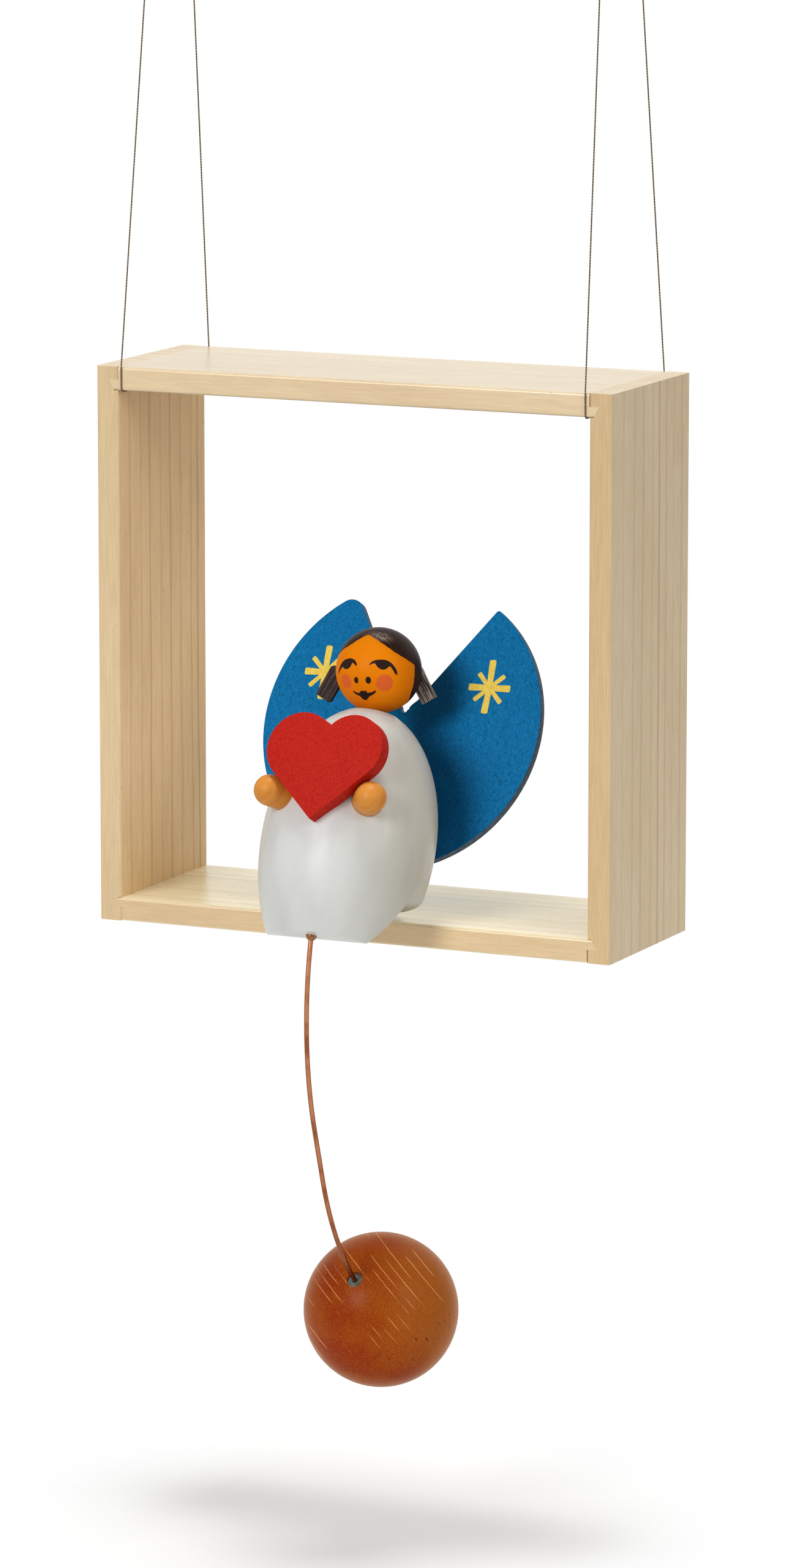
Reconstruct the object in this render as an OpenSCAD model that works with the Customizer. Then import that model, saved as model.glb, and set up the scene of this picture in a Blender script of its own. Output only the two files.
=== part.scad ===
// A balancing figure on a hanging square frame.
// All sizes are in millimetres. The row frame has its origin in the middle of the hanging rod,
// +X to the right, +Y to the back and +Z up. Most pieces are drawn in the frame's own
// coordinates, with zero in the middle of its underside, and in_frame() hangs them on the rod.

/* [Square frame] */
// Width over both side boards
frame_w = 110; // [90:1:140]
// Height of the side boards
frame_h = 110.5; // [100:0.5:140]
// Depth of all four boards
frame_d = 38.4; // [32:0.2:50]
// Thickness of a side board
side_t = 4.8; // [3.5:0.1:7]
// Thickness of the top and bottom boards
board_t = 4.7; // [3.5:0.1:7]
// Rounding of the boards' long edges
edge_r = 0.6; // [0.3:0.05:1]
// Length of a board's tongue at its long side
tongue_l = 2; // [1.2:0.1:3]
// Length of the tongue at its short side
tongue_short = 0.9; // [0.4:0.1:1.2]
// Thickness of the tongue
tongue_t = 2.1; // [1.5:0.1:2.8]

/* [Hanging] */
// Diameter of the hanging rod
rod_d = 6; // [4:0.5:10]
// Length of the rod outside each loop
rod_end_l = 13; // [8:1:30]
// Height of the rod's axis over the frame's underside
hang_drop = 248; // [180:1:320]
// How far the rod lies in front of the frame's middle plane
hang_forward = 6.4; // [0:0.1:12]
// How far the rod's middle lies to the right of the frame's middle
rod_shift = 3; // [-6:0.1:6]
// Distance between the two loops on the rod
loop_spacing = 93.6; // [80:0.2:104]
// Width of a loop's groove in the rod
groove_w = 1.2; // [0.8:0.1:3]
// Depth of a loop's groove
groove_depth = 0.4; // [0.1:0.05:0.8]
// Diameter of the thread
thread_d = 0.35; // [0.3:0.01:0.6]
// Gap between a loop and its side board
loop_inset = 0.75; // [0.4:0.05:3]
// Space between the thread and what it lies on
thread_gap = 0.04; // [0.02:0.01:0.1]
// Distance of a knot from the front edge
knot_inset = 12; // [3:0.5:19]
// Diameter of a knot
knot_d = 1.1; // [0.9:0.1:1.6]
// Length of a knot's loose ends
tail_l = 1.2; // [0.8:0.1:3]

/* [Turned body] */
// Radius at the waist
body_r = 17; // [15:0.25:19]
// Height of the waist over the base
waist_s = 20.8; // [18:0.2:24]
// Height of the curve above the waist
crown_h = 27.4; // [24:0.2:30]
// Height at which the curve below the waist would close
skirt_h = 30; // [26:0.2:34]
// How far the figure leans back, in degrees
lean = 25.3; // [15:0.1:30]
// How far the middle of the base hangs in front of the board
overhang = 12.9; // [11:0.1:15]
// How far the middle of the base lies under the board's upper face
base_drop = 3.3; // [2.5:0.1:4]
// Place of the figure to the right of the frame's middle
figure_x = 1.4; // [-10:0.2:10]
// How far in front of the axis the base is cut
chord_q = 6.1; // [5:0.1:8]
// Height of the saddle cut's corner
saddle_s = 13.8; // [12:0.1:16]
// How far in front of the axis that corner lies
saddle_q = 0.3; // [-1:0.1:1.5]
// Slope of the saddle's rear face, in degrees
saddle_slope = 8.7; // [4:0.1:12]
// Space between the trimmed heel and the board
heel_gap = 0.9; // [0.7:0.05:1.5]

/* [Balance pin] */
// Diameter of the pin and its round nose
pin_d = 2; // [1.5:0.1:3]
// Length of the pin above its nose
pin_l = 12; // [9:0.5:16]
// Distance of the pin from the board's front edge
pin_inset = 3.1; // [2.5:0.05:6]
// Depth of the dimple that the nose stands in
dimple_depth = 0.5; // [0.3:0.05:0.8]
// Space between the nose and the dimple
pin_gap = 0.05; // [0.02:0.01:0.1]

/* [Head] */
// Diameter of the head
head_d = 16.8; // [14:0.1:20]
// How far the head sinks into the crown
head_sink = 0.75; // [0.05:0.05:0.95]
// How far the head sits in front of the axis
head_q = 1.1; // [0:0.1:2]
// Diameter of the neck dowel
neck_d = 3; // [2:0.25:4]
// Depth of the dowel in the head and in the body
neck_depth = 5.5; // [4:0.5:8]
// Glue gap around a dowel or a pin
glue_gap = 0.05; // [0.02:0.01:0.1]

/* [Pigtails] */
// Width of the left pigtail
left_pigtail_w = 3.4; // [2.5:0.1:4.5]
// Width of the right pigtail
right_pigtail_w = 3; // [2.5:0.1:4.5]
// Thickness of a pigtail
pigtail_t = 1.8; // [1.2:0.1:2.5]
// Length of the chip that a pigtail is cut from
pigtail_l = 6.5; // [6:0.25:9]
// Turn outwards, in degrees
pigtail_splay = 30; // [20:1:40]
// Place of the left one's lower end beside the middle of the head
left_pigtail_x = 11.4; // [10.5:0.1:12]
// Place of the right one's lower end beside the middle of the head
right_pigtail_x = 8.9; // [8:0.1:10]
// How far the lower end hangs under the middle of the head
pigtail_drop = 6.1; // [5:0.1:8]
// How far the left one sits in front of the middle of the head
left_pigtail_ahead = 0.8; // [0:0.1:2]
// How far the right one sits behind the middle of the head
right_pigtail_behind = 4.5; // [3.5:0.1:5]

/* [Wings] */
// Radius of the wing plate
wing_r = 29.6; // [24:0.2:34]
// Thickness of the plate
wing_t = 2; // [1.5:0.1:3]
// Height of the plate's centre over the base
wing_s = 49.5; // [46:0.1:52]
// How far the plate's centre sits to the left
wing_shift = 0.5; // [-1:0.1:1]
// How far the plate is let into the body's back
wing_inset = 2.5; // [1:0.1:4]
// Half the angle of the notch, in degrees
notch_half = 32.8; // [22:0.1:38]
// Turn of the notch to the right, in degrees
notch_turn = 2.2; // [-5:0.1:5]
// Width of the slot at the foot of the notch
slot_w = 1.5; // [0.8:0.1:2]
// Height of the slot's floor over the plate's centre
slot_floor = 2.4; // [1.5:0.1:4]
// Height over the plate's centre at which the notch's edges would meet
notch_foot = 1.4; // [0:0.1:2]
// Height at which the slot has opened out into the notch
slot_top = 5.2; // [4.5:0.1:7]
// Radius that the left wing's tip is rounded to
left_tip_r = 2.8; // [0.5:0.1:5]
// Radius that the right wing's tip is rounded to
right_tip_r = 0.6; // [0.5:0.1:5]

/* [Heart] */
// Radius of the left lobe
left_lobe_r = 7.1; // [5.5:0.1:8]
// Radius of the right lobe
right_lobe_r = 6.5; // [5.5:0.1:8]
// Half the distance between the lobes' centres
lobe_x = 5.3; // [4:0.1:6]
// Height of the lobes' centres over the base
lobe_s = 34.7; // [33:0.1:37]
// Distance from the lobes' centres down to the point
point_drop = 14.2; // [12:0.1:16]
// How far the point is carved to the left of the middle
point_shift = 1.8; // [0:0.1:3]
// Turn of the heart to the left, in degrees
heart_turn = 4.5; // [0:0.5:8]
// Thickness of the heart
heart_t = 3.4; // [2.5:0.1:5]
// How far the heart is let into the body's front
heart_inset = 0.6; // [0.2:0.05:1.5]
// How far the heart sits to the right
heart_x = 0.8; // [-1:0.1:1]

/* [Hands] */
// Diameter of a hand
hand_d = 6.2; // [5:0.1:7.5]
// How far the middle of a hand's round end stands out of the body
hand_stand = 3.2; // [2.5:0.1:5]
// Depth of a hand in the body
hand_depth = 4.5; // [3:0.25:7]
// Height of the left hand over the base
left_hand_s = 26.1; // [25.5:0.2:26.3]
// Height of the right hand over the base
right_hand_s = 26.3; // [25.5:0.2:26.3]
// Turn of a hand away from the front, in degrees
hand_turn = 32.7; // [31:0.1:45]

/* [Counterweight] */
// Diameter of the wire
wire_d = 0.95; // [0.8:0.05:1.4]
// Radius of the wire's upper bend
upper_bend_r = 67.5; // [60:0.5:80]
// Angle of the upper bend, in degrees
upper_bend_angle = 33.5; // [28:0.5:40]
// Length of the straight stretch between the bends
wire_straight = 11.2; // [5:0.1:20]
// Radius of the wire's lower bend
lower_bend_r = 59; // [50:0.5:70]
// Angle of the lower bend, in degrees
lower_bend_angle = 26.6; // [20:0.1:32]
// Turn of the wire from upright where it leaves the body, in degrees
wire_start = 14.8; // [10:0.1:20]
// How far in front of the axis the wire leaves the body
wire_q = 8.8; // [7.5:0.1:10.5]
// Depth of the wire in the body and in the ball
wire_depth = 8; // [5:0.5:10]
// Diameter of the ball
ball_d = 30.8; // [26:0.25:36]
// Turn of the ball's hole from the wire's mean line, in degrees
hole_turn = 9; // [0:0.5:15]
// Diameter of the hole in the ball
hole_d = 3.2; // [2.4:0.1:4.5]
// Depth of the hole
hole_depth = 9.5; // [8:0.5:12]
// How far the glue stays under the mouth of the hole
plug_recess = 0.5; // [0.3:0.1:1.5]
// Diameter of the glue bead where the wire leaves the body
bead_d = 2.2; // [1.6:0.1:3]

/* [Hidden] */
$fn = 64;
past = 1;
profile_steps = 40;
rod_l = loop_spacing + 2 * rod_end_l;
inner_w = frame_w - 2 * side_t;
figure_y = -frame_d / 2 - overhang;
figure_z = board_t - base_drop;
body_h = waist_s + crown_h;
heart_q = body_r - heart_inset;
wing_q = body_r - wing_inset;
head_r = head_d / 2;
head_s = body_h - head_sink + head_r;
head_y = figure_y + head_s * sin(lean) - head_q * cos(lean);
head_z = figure_z + head_s * cos(lean) + head_q * sin(lean);
nose_r = pin_d / 2;
pin_y = -frame_d / 2 + pin_inset;
nose_z = board_t + nose_r - dimple_depth + pin_gap;
ball_r = ball_d / 2;
pine = [0.93, 0.80, 0.60];
wood_white = [0.88, 0.88, 0.86];
wing_blue = [0.07, 0.34, 0.62];
heart_red = [0.75, 0.10, 0.09];
skin_orange = [0.90, 0.48, 0.06];
hair_brown = [0.16, 0.09, 0.07];
hand_tan = [0.86, 0.56, 0.24];
copper_tone = [0.72, 0.38, 0.20];
ball_brown = [0.45, 0.20, 0.12];
thread_brown = [0.35, 0.28, 0.20];
glue_amber = [0.78, 0.45, 0.15];
glue_grey = [0.70, 0.72, 0.72];
steel_grey = [0.62, 0.63, 0.65];

// Places

module in_frame() {
    translate([-rod_shift, hang_forward, -hang_drop]) children();
}

// The figure's own coordinates: zero in the middle of its base, Z along its leaning axis.
module in_figure() {
    in_frame() translate([figure_x, figure_y, figure_z]) rotate([-lean, 0, 0]) children();
}

// Upright coordinates with zero in the middle of the head.
module in_head() {
    in_frame() translate([figure_x, head_y, head_z]) children();
}

// A flat outline in X and Z, given a thickness along Y, from the plane y.
module plate(y, t) {
    translate([0, y + t, 0]) rotate([90, 0, 0]) linear_extrude(t) children();
}

// Square frame

module rounded_section(w, h, r) {
    square([w - 2 * r, h], center = true);
    square([w, h - 2 * r], center = true);
    for (x = [-1, 1], y = [-1, 1]) translate([x * (w / 2 - r), y * (h / 2 - r)]) circle(r);
}

// Outline of the tongue in X and Z at the right end of the bottom board.
module tongue_outline() {
    polygon([[inner_w / 2 - past, board_t], [inner_w / 2 + tongue_short, board_t],
        [inner_w / 2 + tongue_l, board_t - tongue_t], [inner_w / 2 - past, board_t - tongue_t]]);
}

module tongue() {
    plate(-frame_d / 2, frame_d) tongue_outline();
}

module side_board() {
    difference() {
        translate([frame_w / 2 - side_t / 2, 0, 0]) linear_extrude(frame_h)
            rounded_section(side_t, frame_d, edge_r);
        tongue();
        translate([0, 0, frame_h]) mirror([0, 0, 1]) tongue();
    }
}

module cross_board() {
    translate([-inner_w / 2, 0, board_t / 2]) rotate([90, 0, 90]) linear_extrude(inner_w)
        rounded_section(frame_d, board_t, edge_r);
    for (side = [0, 1]) mirror([side, 0, 0]) intersection() {
        tongue();
        translate([0, 0, board_t / 2]) rotate([90, 0, 90]) linear_extrude(frame_w)
            rounded_section(frame_d, board_t, edge_r);
    }
}

module left_side_board() {
    color(pine) in_frame() mirror([1, 0, 0]) side_board();
}

module right_side_board() {
    color(pine) in_frame() side_board();
}

module top_board() {
    color(pine) in_frame() translate([0, 0, frame_h]) mirror([0, 0, 1]) cross_board();
}

module bottom_board() {
    color(pine) in_frame() difference() {
        cross_board();
        translate([figure_x, pin_y, nose_z]) sphere(nose_r + pin_gap);
    }
}

// Hanging rod and thread loops

module hanging_rod() {
    color(pine) rotate([0, 90, 0]) difference() {
        cylinder(d = rod_d, h = rod_l, center = true);
        for (side = [-1, 1]) translate([0, 0, side * loop_spacing / 2]) difference() {
            cylinder(d = rod_d + past, h = groove_w, center = true);
            cylinder(d = rod_d - 2 * groove_depth, h = groove_w + past, center = true);
        }
    }
}

lay_r = thread_d / 2 + thread_gap;
corner_r = edge_r + lay_r;
over_r = rod_d / 2 - groove_depth + lay_r;
corner_y = frame_d / 2 - edge_r;
low_z = frame_h - board_t + edge_r;
top_z = frame_h - edge_r;
under_z = frame_h - board_t - lay_r;
knot_y = -frame_d / 2 + knot_inset;
board_loop_x = inner_w / 2 - loop_inset;
tail_dip = 125;
tail_turns = [-30, 30];

// Angle, seen from the right, of the line that touches both a corner and the rod.
function strand_lean(dy, dz) = atan2(dz, dy) + asin((over_r - corner_r) / norm([dy, dz]));
front_angle = 90 + strand_lean(corner_y - hang_forward, hang_drop - top_z);
back_angle = 90 - strand_lean(corner_y + hang_forward, hang_drop - top_z);

function bend(y, z, r, from, to, n) =
    [for (i = [0:n]) let (a = from + (to - from) * i / n) [y + r * cos(a), z + r * sin(a)]];

// The loop's route in Y and Z: from the knot round the front edge, over the rod, down round
// the back edge and under the board to the knot again.
function loop_route() = concat(
    [[knot_y - thread_gap / 2, under_z]],
    bend(-corner_y, low_z, corner_r, 270, 180, 4),
    bend(-corner_y, top_z, corner_r, 180, front_angle, 2),
    bend(-hang_forward, hang_drop, over_r, front_angle, back_angle, 10),
    bend(corner_y, top_z, corner_r, back_angle, 0, 2),
    bend(corner_y, low_z, corner_r, 0, -90, 4),
    [[knot_y + thread_gap / 2, under_z]]);

// Sideways place of a point of the route, which leans from the board's place to the rod's.
function route_x(z, side) =
    let (share = max(0, min(1, (z - frame_h) / (hang_drop - frame_h))))
    side * board_loop_x + share * (rod_shift + side * loop_spacing / 2 - side * board_loop_x);

function unit(v) = v / norm(v);

// A tube through the points.
module tube(points, d, sides) {
    last = len(points) - 1;
    rings = [for (i = [0:last])
        let (t = unit(points[min(i + 1, last)] - points[max(i - 1, 0)]),
            u = unit(cross(t, [1, 0, 0])),
            v = cross(t, u))
        [for (k = [0:sides - 1]) let (a = 360 * k / sides)
            points[i] + d / 2 * (cos(a) * u + sin(a) * v)]];
    walls = [for (i = [0:last - 1], k = [0:sides - 1]) let (j = (k + 1) % sides)
        [i * sides + k, i * sides + j, (i + 1) * sides + j, (i + 1) * sides + k]];
    caps = [[for (k = [0:sides - 1]) sides - 1 - k], [for (k = [0:sides - 1]) last * sides + k]];
    polyhedron([for (ring = rings, p = ring) p], concat(walls, caps));
}

module thread_loop(side) {
    color(thread_brown) in_frame()
        tube([for (p = loop_route()) [route_x(p[1], side), p[0], p[1]]], thread_d, 8);
}

module left_thread_loop() {
    thread_loop(-1);
}

module right_thread_loop() {
    thread_loop(1);
}

// A knot with two loose ends that hang towards the middle of the board.
module knot(side) {
    color(thread_brown) in_frame()
        translate([side * board_loop_x, knot_y, frame_h - board_t - thread_gap - knot_d / 2])
        difference() {
            union() {
                sphere(d = knot_d);
                for (turn = tail_turns) rotate([0, -side * tail_dip, turn])
                    cylinder(d = thread_d, h = tail_l);
            }
            translate([0, 0, knot_d / 2 + thread_gap - lay_r]) rotate([90, 0, 0])
                cylinder(d = thread_d + thread_gap, h = 2 * knot_d, center = true);
        }
}

module left_knot() {
    knot(-1);
}

module right_knot() {
    knot(1);
}

// Turned body

function body_radius(s) =
    body_r * sqrt(max(0, 1 - pow((s - waist_s) / (s > waist_s ? crown_h : skirt_h), 2)));

module egg() {
    rotate_extrude($fn = 96) polygon(concat([[0, 0]],
        [for (i = [0:profile_steps]) let (s = body_h * i / profile_steps) [body_radius(s), s]]));
}

// The saddle that rides over the board: in Y and Z, in front of it the lobe that hangs down.
module saddle() {
    reach = 2 * body_r;
    front_run = (chord_q - saddle_q) / saddle_s;
    translate([-reach, 0, 0]) rotate([90, 0, 90]) linear_extrude(2 * reach) polygon([
        [-chord_q - past * front_run, -past], [-saddle_q, saddle_s],
        [reach, saddle_s - (reach + saddle_q) * tan(saddle_slope)], [reach, -past]]);
}

// Cuts the heel flat over the board and over a quarter of the overhang in front of it.
module heel_trim() {
    in_frame() translate([-frame_w / 2, -frame_d / 2 - overhang / 4, -board_t])
        cube([frame_w, frame_d, 2 * board_t + heel_gap]);
}

module turned_body() {
    color(wood_white) difference() {
        in_figure() egg();
        in_figure() saddle();
        heel_trim();
        in_figure() translate([0, -head_q, head_s]) sphere(head_r);
        neck_bore();
        in_figure() plate(-heart_q - body_r, body_r) heart_outline();
        in_figure() plate(wing_q, body_r) wing_outline();
        for (side = [-1, 1]) in_figure() hand_place(side)
            cylinder(d = hand_d + 2 * glue_gap, h = body_r + past);
        pin_place() cylinder(d = pin_d + 2 * glue_gap, h = pin_l + glue_gap);
        wire_place() translate([0, 0, -past]) cylinder(d = wire_d + 2 * glue_gap,
            h = wire_depth + past + glue_gap);
    }
}

// Balance pin

module pin_place() {
    in_frame() translate([figure_x, pin_y, nose_z]) children();
}

module balance_pin() {
    color(steel_grey) pin_place() {
        sphere(nose_r);
        cylinder(r = nose_r, h = pin_l);
    }
}

// Head

module neck_bore() {
    in_figure() translate([0, -head_q, head_s - head_r - neck_depth - glue_gap])
        cylinder(d = neck_d + 2 * glue_gap, h = 2 * neck_depth + 2 * glue_gap);
}

module neck_dowel() {
    color(pine) in_figure() translate([0, -head_q, head_s - head_r - neck_depth])
        cylinder(d = neck_d, h = 2 * neck_depth);
}

module head_ball() {
    color(skin_orange) difference() {
        in_head() sphere(head_r);
        neck_bore();
    }
}

module pigtail(side, pigtail_w, x, y) {
    color(hair_brown) in_head() difference() {
        translate([x, y, -pigtail_drop])
            rotate([0, -side * pigtail_splay, 0])
            translate([-pigtail_w / 2, -pigtail_t / 2, 0])
            cube([pigtail_w, pigtail_t, pigtail_l]);
        sphere(head_r);
    }
}

module left_pigtail() {
    pigtail(-1, left_pigtail_w, -left_pigtail_x, -left_pigtail_ahead);
}

module right_pigtail() {
    pigtail(1, right_pigtail_w, right_pigtail_x, right_pigtail_behind);
}

// Wings

module notch_outline() {
    slope = tan(notch_half);
    flare = 0.8;
    floor_y = slot_floor + slot_w / 2;
    middle = (floor_y + slot_top) / 2;
    high = 2 * wing_r;
    for (side = [0, 1]) mirror([side, 0]) polygon([[-past, floor_y], [slot_w / 2, floor_y],
        [flare * (middle - notch_foot) * slope, middle], [(slot_top - notch_foot) * slope, slot_top],
        [(high - notch_foot) * slope, high], [-past, high]]);
    translate([0, floor_y]) circle(d = slot_w);
}

// What is sanded off a tip: the notch's edge runs up Y, with the wing to the left of it.
module tip_waste(tip_r) {
    edge_x = notch_foot * sin(notch_half);
    centre_x = edge_x - tip_r;
    centre_y = sqrt(pow(wing_r - tip_r, 2) - centre_x * centre_x);
    outside = (wing_r + past) / (wing_r - tip_r);
    difference() {
        polygon([[centre_x, centre_y], [edge_x + past, centre_y], [edge_x + past, wing_r + past],
            [centre_x * outside, centre_y * outside]]);
        translate([centre_x, centre_y]) circle(tip_r, $fn = 48);
    }
}

module wing_outline() {
    translate([-wing_shift, wing_s]) rotate(-notch_turn) difference() {
        circle(wing_r, $fn = 128);
        notch_outline();
        rotate(notch_half) tip_waste(left_tip_r);
        rotate(-notch_half) mirror([1, 0]) tip_waste(right_tip_r);
    }
}

module wing_plate() {
    color(wing_blue) in_figure() plate(wing_q, wing_t) wing_outline();
}

// Heart

// The corner where the straight lower edge meets the lobe on one side.
function lobe_end(side, lobe_r) =
    let (run = [lobe_x + side * point_shift, point_drop],
        straight = sqrt(run * run - lobe_r * lobe_r),
        rise = atan2(run[1], run[0]) - asin(lobe_r / norm(run)))
    [side * straight * cos(rise) - point_shift, straight * sin(rise) - point_drop];

module heart_outline() {
    translate([heart_x, lobe_s]) rotate(heart_turn) {
        translate([-lobe_x, 0]) circle(left_lobe_r);
        translate([lobe_x, 0]) circle(right_lobe_r);
        polygon([[-point_shift, -point_drop], lobe_end(1, right_lobe_r), [lobe_x, 0],
            [-lobe_x, 0], lobe_end(-1, left_lobe_r)]);
    }
}

// The back of its lower edges is hollowed where the hands hold it.
module heart_plate() {
    color(heart_red) in_figure() difference() {
        plate(-heart_q - heart_t, heart_t) heart_outline();
        for (side = [-1, 1]) hand_form(side, glue_gap);
    }
}

// Hands

module hand_place(side) {
    hand_s = side > 0 ? right_hand_s : left_hand_s;
    translate([0, 0, hand_s]) rotate([90, 0, side * hand_turn])
        translate([0, 0, body_radius(hand_s) - hand_depth]) children();
}

// A peg with a round end, larger by grow all round.
module hand_form(side, grow) {
    dome_at = hand_depth + hand_stand;
    hand_place(side) {
        cylinder(d = hand_d + 2 * grow, h = dome_at);
        translate([0, 0, dome_at]) sphere(d = hand_d + 2 * grow);
    }
}

module hand(side) {
    color(hand_tan) in_figure() hand_form(side, 0);
}

module left_hand() {
    hand(-1);
}

module right_hand() {
    hand(1);
}

// Wire and ball. Angles of the wire are measured from straight down, forwards.

wire_y = figure_y - wire_q * cos(lean);
wire_z = figure_z + wire_q * sin(lean);
start_side = -wire_start;
upper_y = wire_y + upper_bend_r * cos(start_side);
upper_z = wire_z + upper_bend_r * sin(start_side);
mid_side = start_side + upper_bend_angle;
join_y = upper_y - upper_bend_r * cos(mid_side) + wire_straight * sin(mid_side);
join_z = upper_z - upper_bend_r * sin(mid_side) - wire_straight * cos(mid_side);
lower_y = join_y + lower_bend_r * cos(mid_side);
lower_z = join_z + lower_bend_r * sin(mid_side);
end_side = mid_side + lower_bend_angle;
mouth_y = lower_y - lower_bend_r * cos(end_side);
mouth_z = lower_z - lower_bend_r * sin(end_side);
ball_side = end_side + hole_turn;
ball_y = mouth_y + ball_r * sin(ball_side);
ball_z = mouth_z - ball_r * cos(ball_side);

// Zero where the wire leaves the body, Z up along the wire into the body.
module wire_place() {
    in_frame() translate([figure_x, wire_y, wire_z]) rotate([-wire_start, 0, 0]) children();
}

// Zero at the mouth of the ball's hole, Z along the wire into the ball.
module mouth_place() {
    in_frame() translate([figure_x, mouth_y, mouth_z]) rotate([180 + end_side, 0, 0]) children();
}

// The wire's route in Y and Z, from its end in the body down to its end in the ball.
function wire_route() = concat(
    [[wire_y - wire_depth * sin(start_side), wire_z + wire_depth * cos(start_side)]],
    bend(upper_y, upper_z, upper_bend_r, 180 + start_side, 180 + mid_side, 12),
    bend(lower_y, lower_z, lower_bend_r, 180 + mid_side, 180 + end_side, 10),
    [[mouth_y + wire_depth * sin(end_side), mouth_z - wire_depth * cos(end_side)]]);

module copper_wire() {
    color(copper_tone) in_frame() translate([figure_x, 0, 0])
        tube([for (p = wire_route()) [0, p[0], p[1]]], wire_d, 16);
}

module wire_glue_bead() {
    color(glue_amber) difference() {
        in_figure() intersection() {
            translate([0, -wire_q, 0]) sphere(d = bead_d);
            translate([-bead_d, -wire_q - bead_d, -2 * bead_d]) cube(2 * bead_d);
        }
        wire_place() cylinder(d = wire_d + 2 * glue_gap, h = 4 * bead_d, center = true);
    }
}

module counterweight_ball() {
    color(ball_brown) difference() {
        in_frame() translate([figure_x, ball_y, ball_z]) sphere(ball_r);
        mouth_place() translate([0, 0, -past]) cylinder(d = hole_d, h = hole_depth + past);
    }
}

module ball_glue_plug() {
    color(glue_grey) mouth_place() difference() {
        translate([0, 0, plug_recess]) cylinder(d = hole_d, h = hole_depth - plug_recess);
        translate([0, 0, -past]) cylinder(d = wire_d + 2 * glue_gap, h = wire_depth + past + glue_gap);
    }
}

hanging_rod();
left_thread_loop();
right_thread_loop();
left_knot();
right_knot();
left_side_board();
right_side_board();
top_board();
bottom_board();
turned_body();
balance_pin();
neck_dowel();
head_ball();
left_pigtail();
right_pigtail();
wing_plate();
heart_plate();
left_hand();
right_hand();
copper_wire();
wire_glue_bead();
counterweight_ball();
ball_glue_plug();
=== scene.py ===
from math import asin, atan2, cos, degrees, hypot, pi, radians, sin, tau

import bmesh
import bpy
from mathutils import Matrix, Vector
from mathutils.geometry import delaunay_2d_cdt


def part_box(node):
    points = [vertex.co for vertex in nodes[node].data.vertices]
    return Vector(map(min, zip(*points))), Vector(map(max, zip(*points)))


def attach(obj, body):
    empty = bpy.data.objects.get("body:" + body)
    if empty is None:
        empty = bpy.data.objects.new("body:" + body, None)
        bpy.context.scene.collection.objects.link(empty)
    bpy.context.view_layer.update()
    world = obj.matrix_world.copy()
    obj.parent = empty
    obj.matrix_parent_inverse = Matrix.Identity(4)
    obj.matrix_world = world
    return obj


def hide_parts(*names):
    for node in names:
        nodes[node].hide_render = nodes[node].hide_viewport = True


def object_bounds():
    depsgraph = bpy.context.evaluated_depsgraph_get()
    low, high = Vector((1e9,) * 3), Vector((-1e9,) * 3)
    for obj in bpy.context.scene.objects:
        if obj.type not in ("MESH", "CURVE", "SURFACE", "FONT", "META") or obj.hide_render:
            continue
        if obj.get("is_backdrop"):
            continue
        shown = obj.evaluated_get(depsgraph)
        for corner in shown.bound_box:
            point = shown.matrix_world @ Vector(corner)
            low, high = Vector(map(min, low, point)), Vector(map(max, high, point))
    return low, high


print("Loading the packed model")
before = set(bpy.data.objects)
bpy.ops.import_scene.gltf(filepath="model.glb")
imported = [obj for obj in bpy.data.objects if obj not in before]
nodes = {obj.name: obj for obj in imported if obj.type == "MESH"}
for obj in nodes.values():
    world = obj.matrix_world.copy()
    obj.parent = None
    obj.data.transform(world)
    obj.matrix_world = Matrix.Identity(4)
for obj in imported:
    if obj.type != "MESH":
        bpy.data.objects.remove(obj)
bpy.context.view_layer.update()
scene = bpy.context.scene
mm = 0.001
quarter = pi / 2

# The square frame hangs under its rod: place() turns a point measured from the middle of the
# square frame's underside, in millimetres, into metres under the rod.
hanging = {"rodShift": 3.0, "forward": 6.4, "drop": 248.0}
seat = {"x": 1.4, "y": -32.1, "z": 1.4, "lean": 25.3}


def place(x, y, z):
    return Vector((x - hanging["rodShift"], y + hanging["forward"], z - hanging["drop"])) * mm


def onFigure(x, q, s):  # q backwards from the body's axis, s up along it
    c, n = cos(radians(seat["lean"])), sin(radians(seat["lean"]))
    return place(seat["x"] + x, seat["y"] + q * c + s * n, seat["z"] - q * n + s * c)


# Camera

camera = {
    "azimuth": 24.84, "elevation": 10.16, "distance": 1438.2, "side": 0.38, "up": 27.75,
    "lens": 166.9, "sensor": 36, "nearest": 0.05, "farthest": 60}


def makeCamera():
    az, el = radians(camera["azimuth"]), radians(camera["elevation"])
    right = Vector((cos(az), sin(az), 0))
    back = Vector((sin(az) * cos(el), -cos(az) * cos(el), sin(el)))
    up = back.cross(right)
    at = right * camera["side"] + up * camera["up"] + back * camera["distance"]
    data = bpy.data.cameras.new("camera")
    data.sensor_fit = "AUTO"
    data.sensor_width = camera["sensor"]
    data.lens = camera["lens"]
    data.clip_start, data.clip_end = camera["nearest"], camera["farthest"]
    made = bpy.data.objects.new("camera", data)
    scene.collection.objects.link(made)
    turn = Matrix((right, up, back)).transposed().to_4x4()
    made.matrix_world = Matrix.Translation(place(*at)) @ turn
    scene.camera = made


print("Camera")
makeCamera()


# Nodes

def addNode(tree, kind, inputs=None, **settings):
    made = tree.nodes.new(kind)
    for name, value in settings.items():
        setattr(made, name, value)
    for name, value in (inputs or {}).items():
        socket = made.inputs[name]
        if isinstance(value, bpy.types.NodeSocket):
            tree.links.new(value, socket)
        else:
            socket.default_value = value
    return made


def addAfter(kind, inputs, **settings):  # in the tree that its inputs come from
    tree = next(v.id_data for v in inputs.values() if isinstance(v, bpy.types.NodeSocket))
    return addNode(tree, kind, inputs, **settings)


def addShape(tree, kind, inputs=None, **settings):
    return addNode(tree, "GeometryNode" + kind, inputs, **settings).outputs[0]


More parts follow.
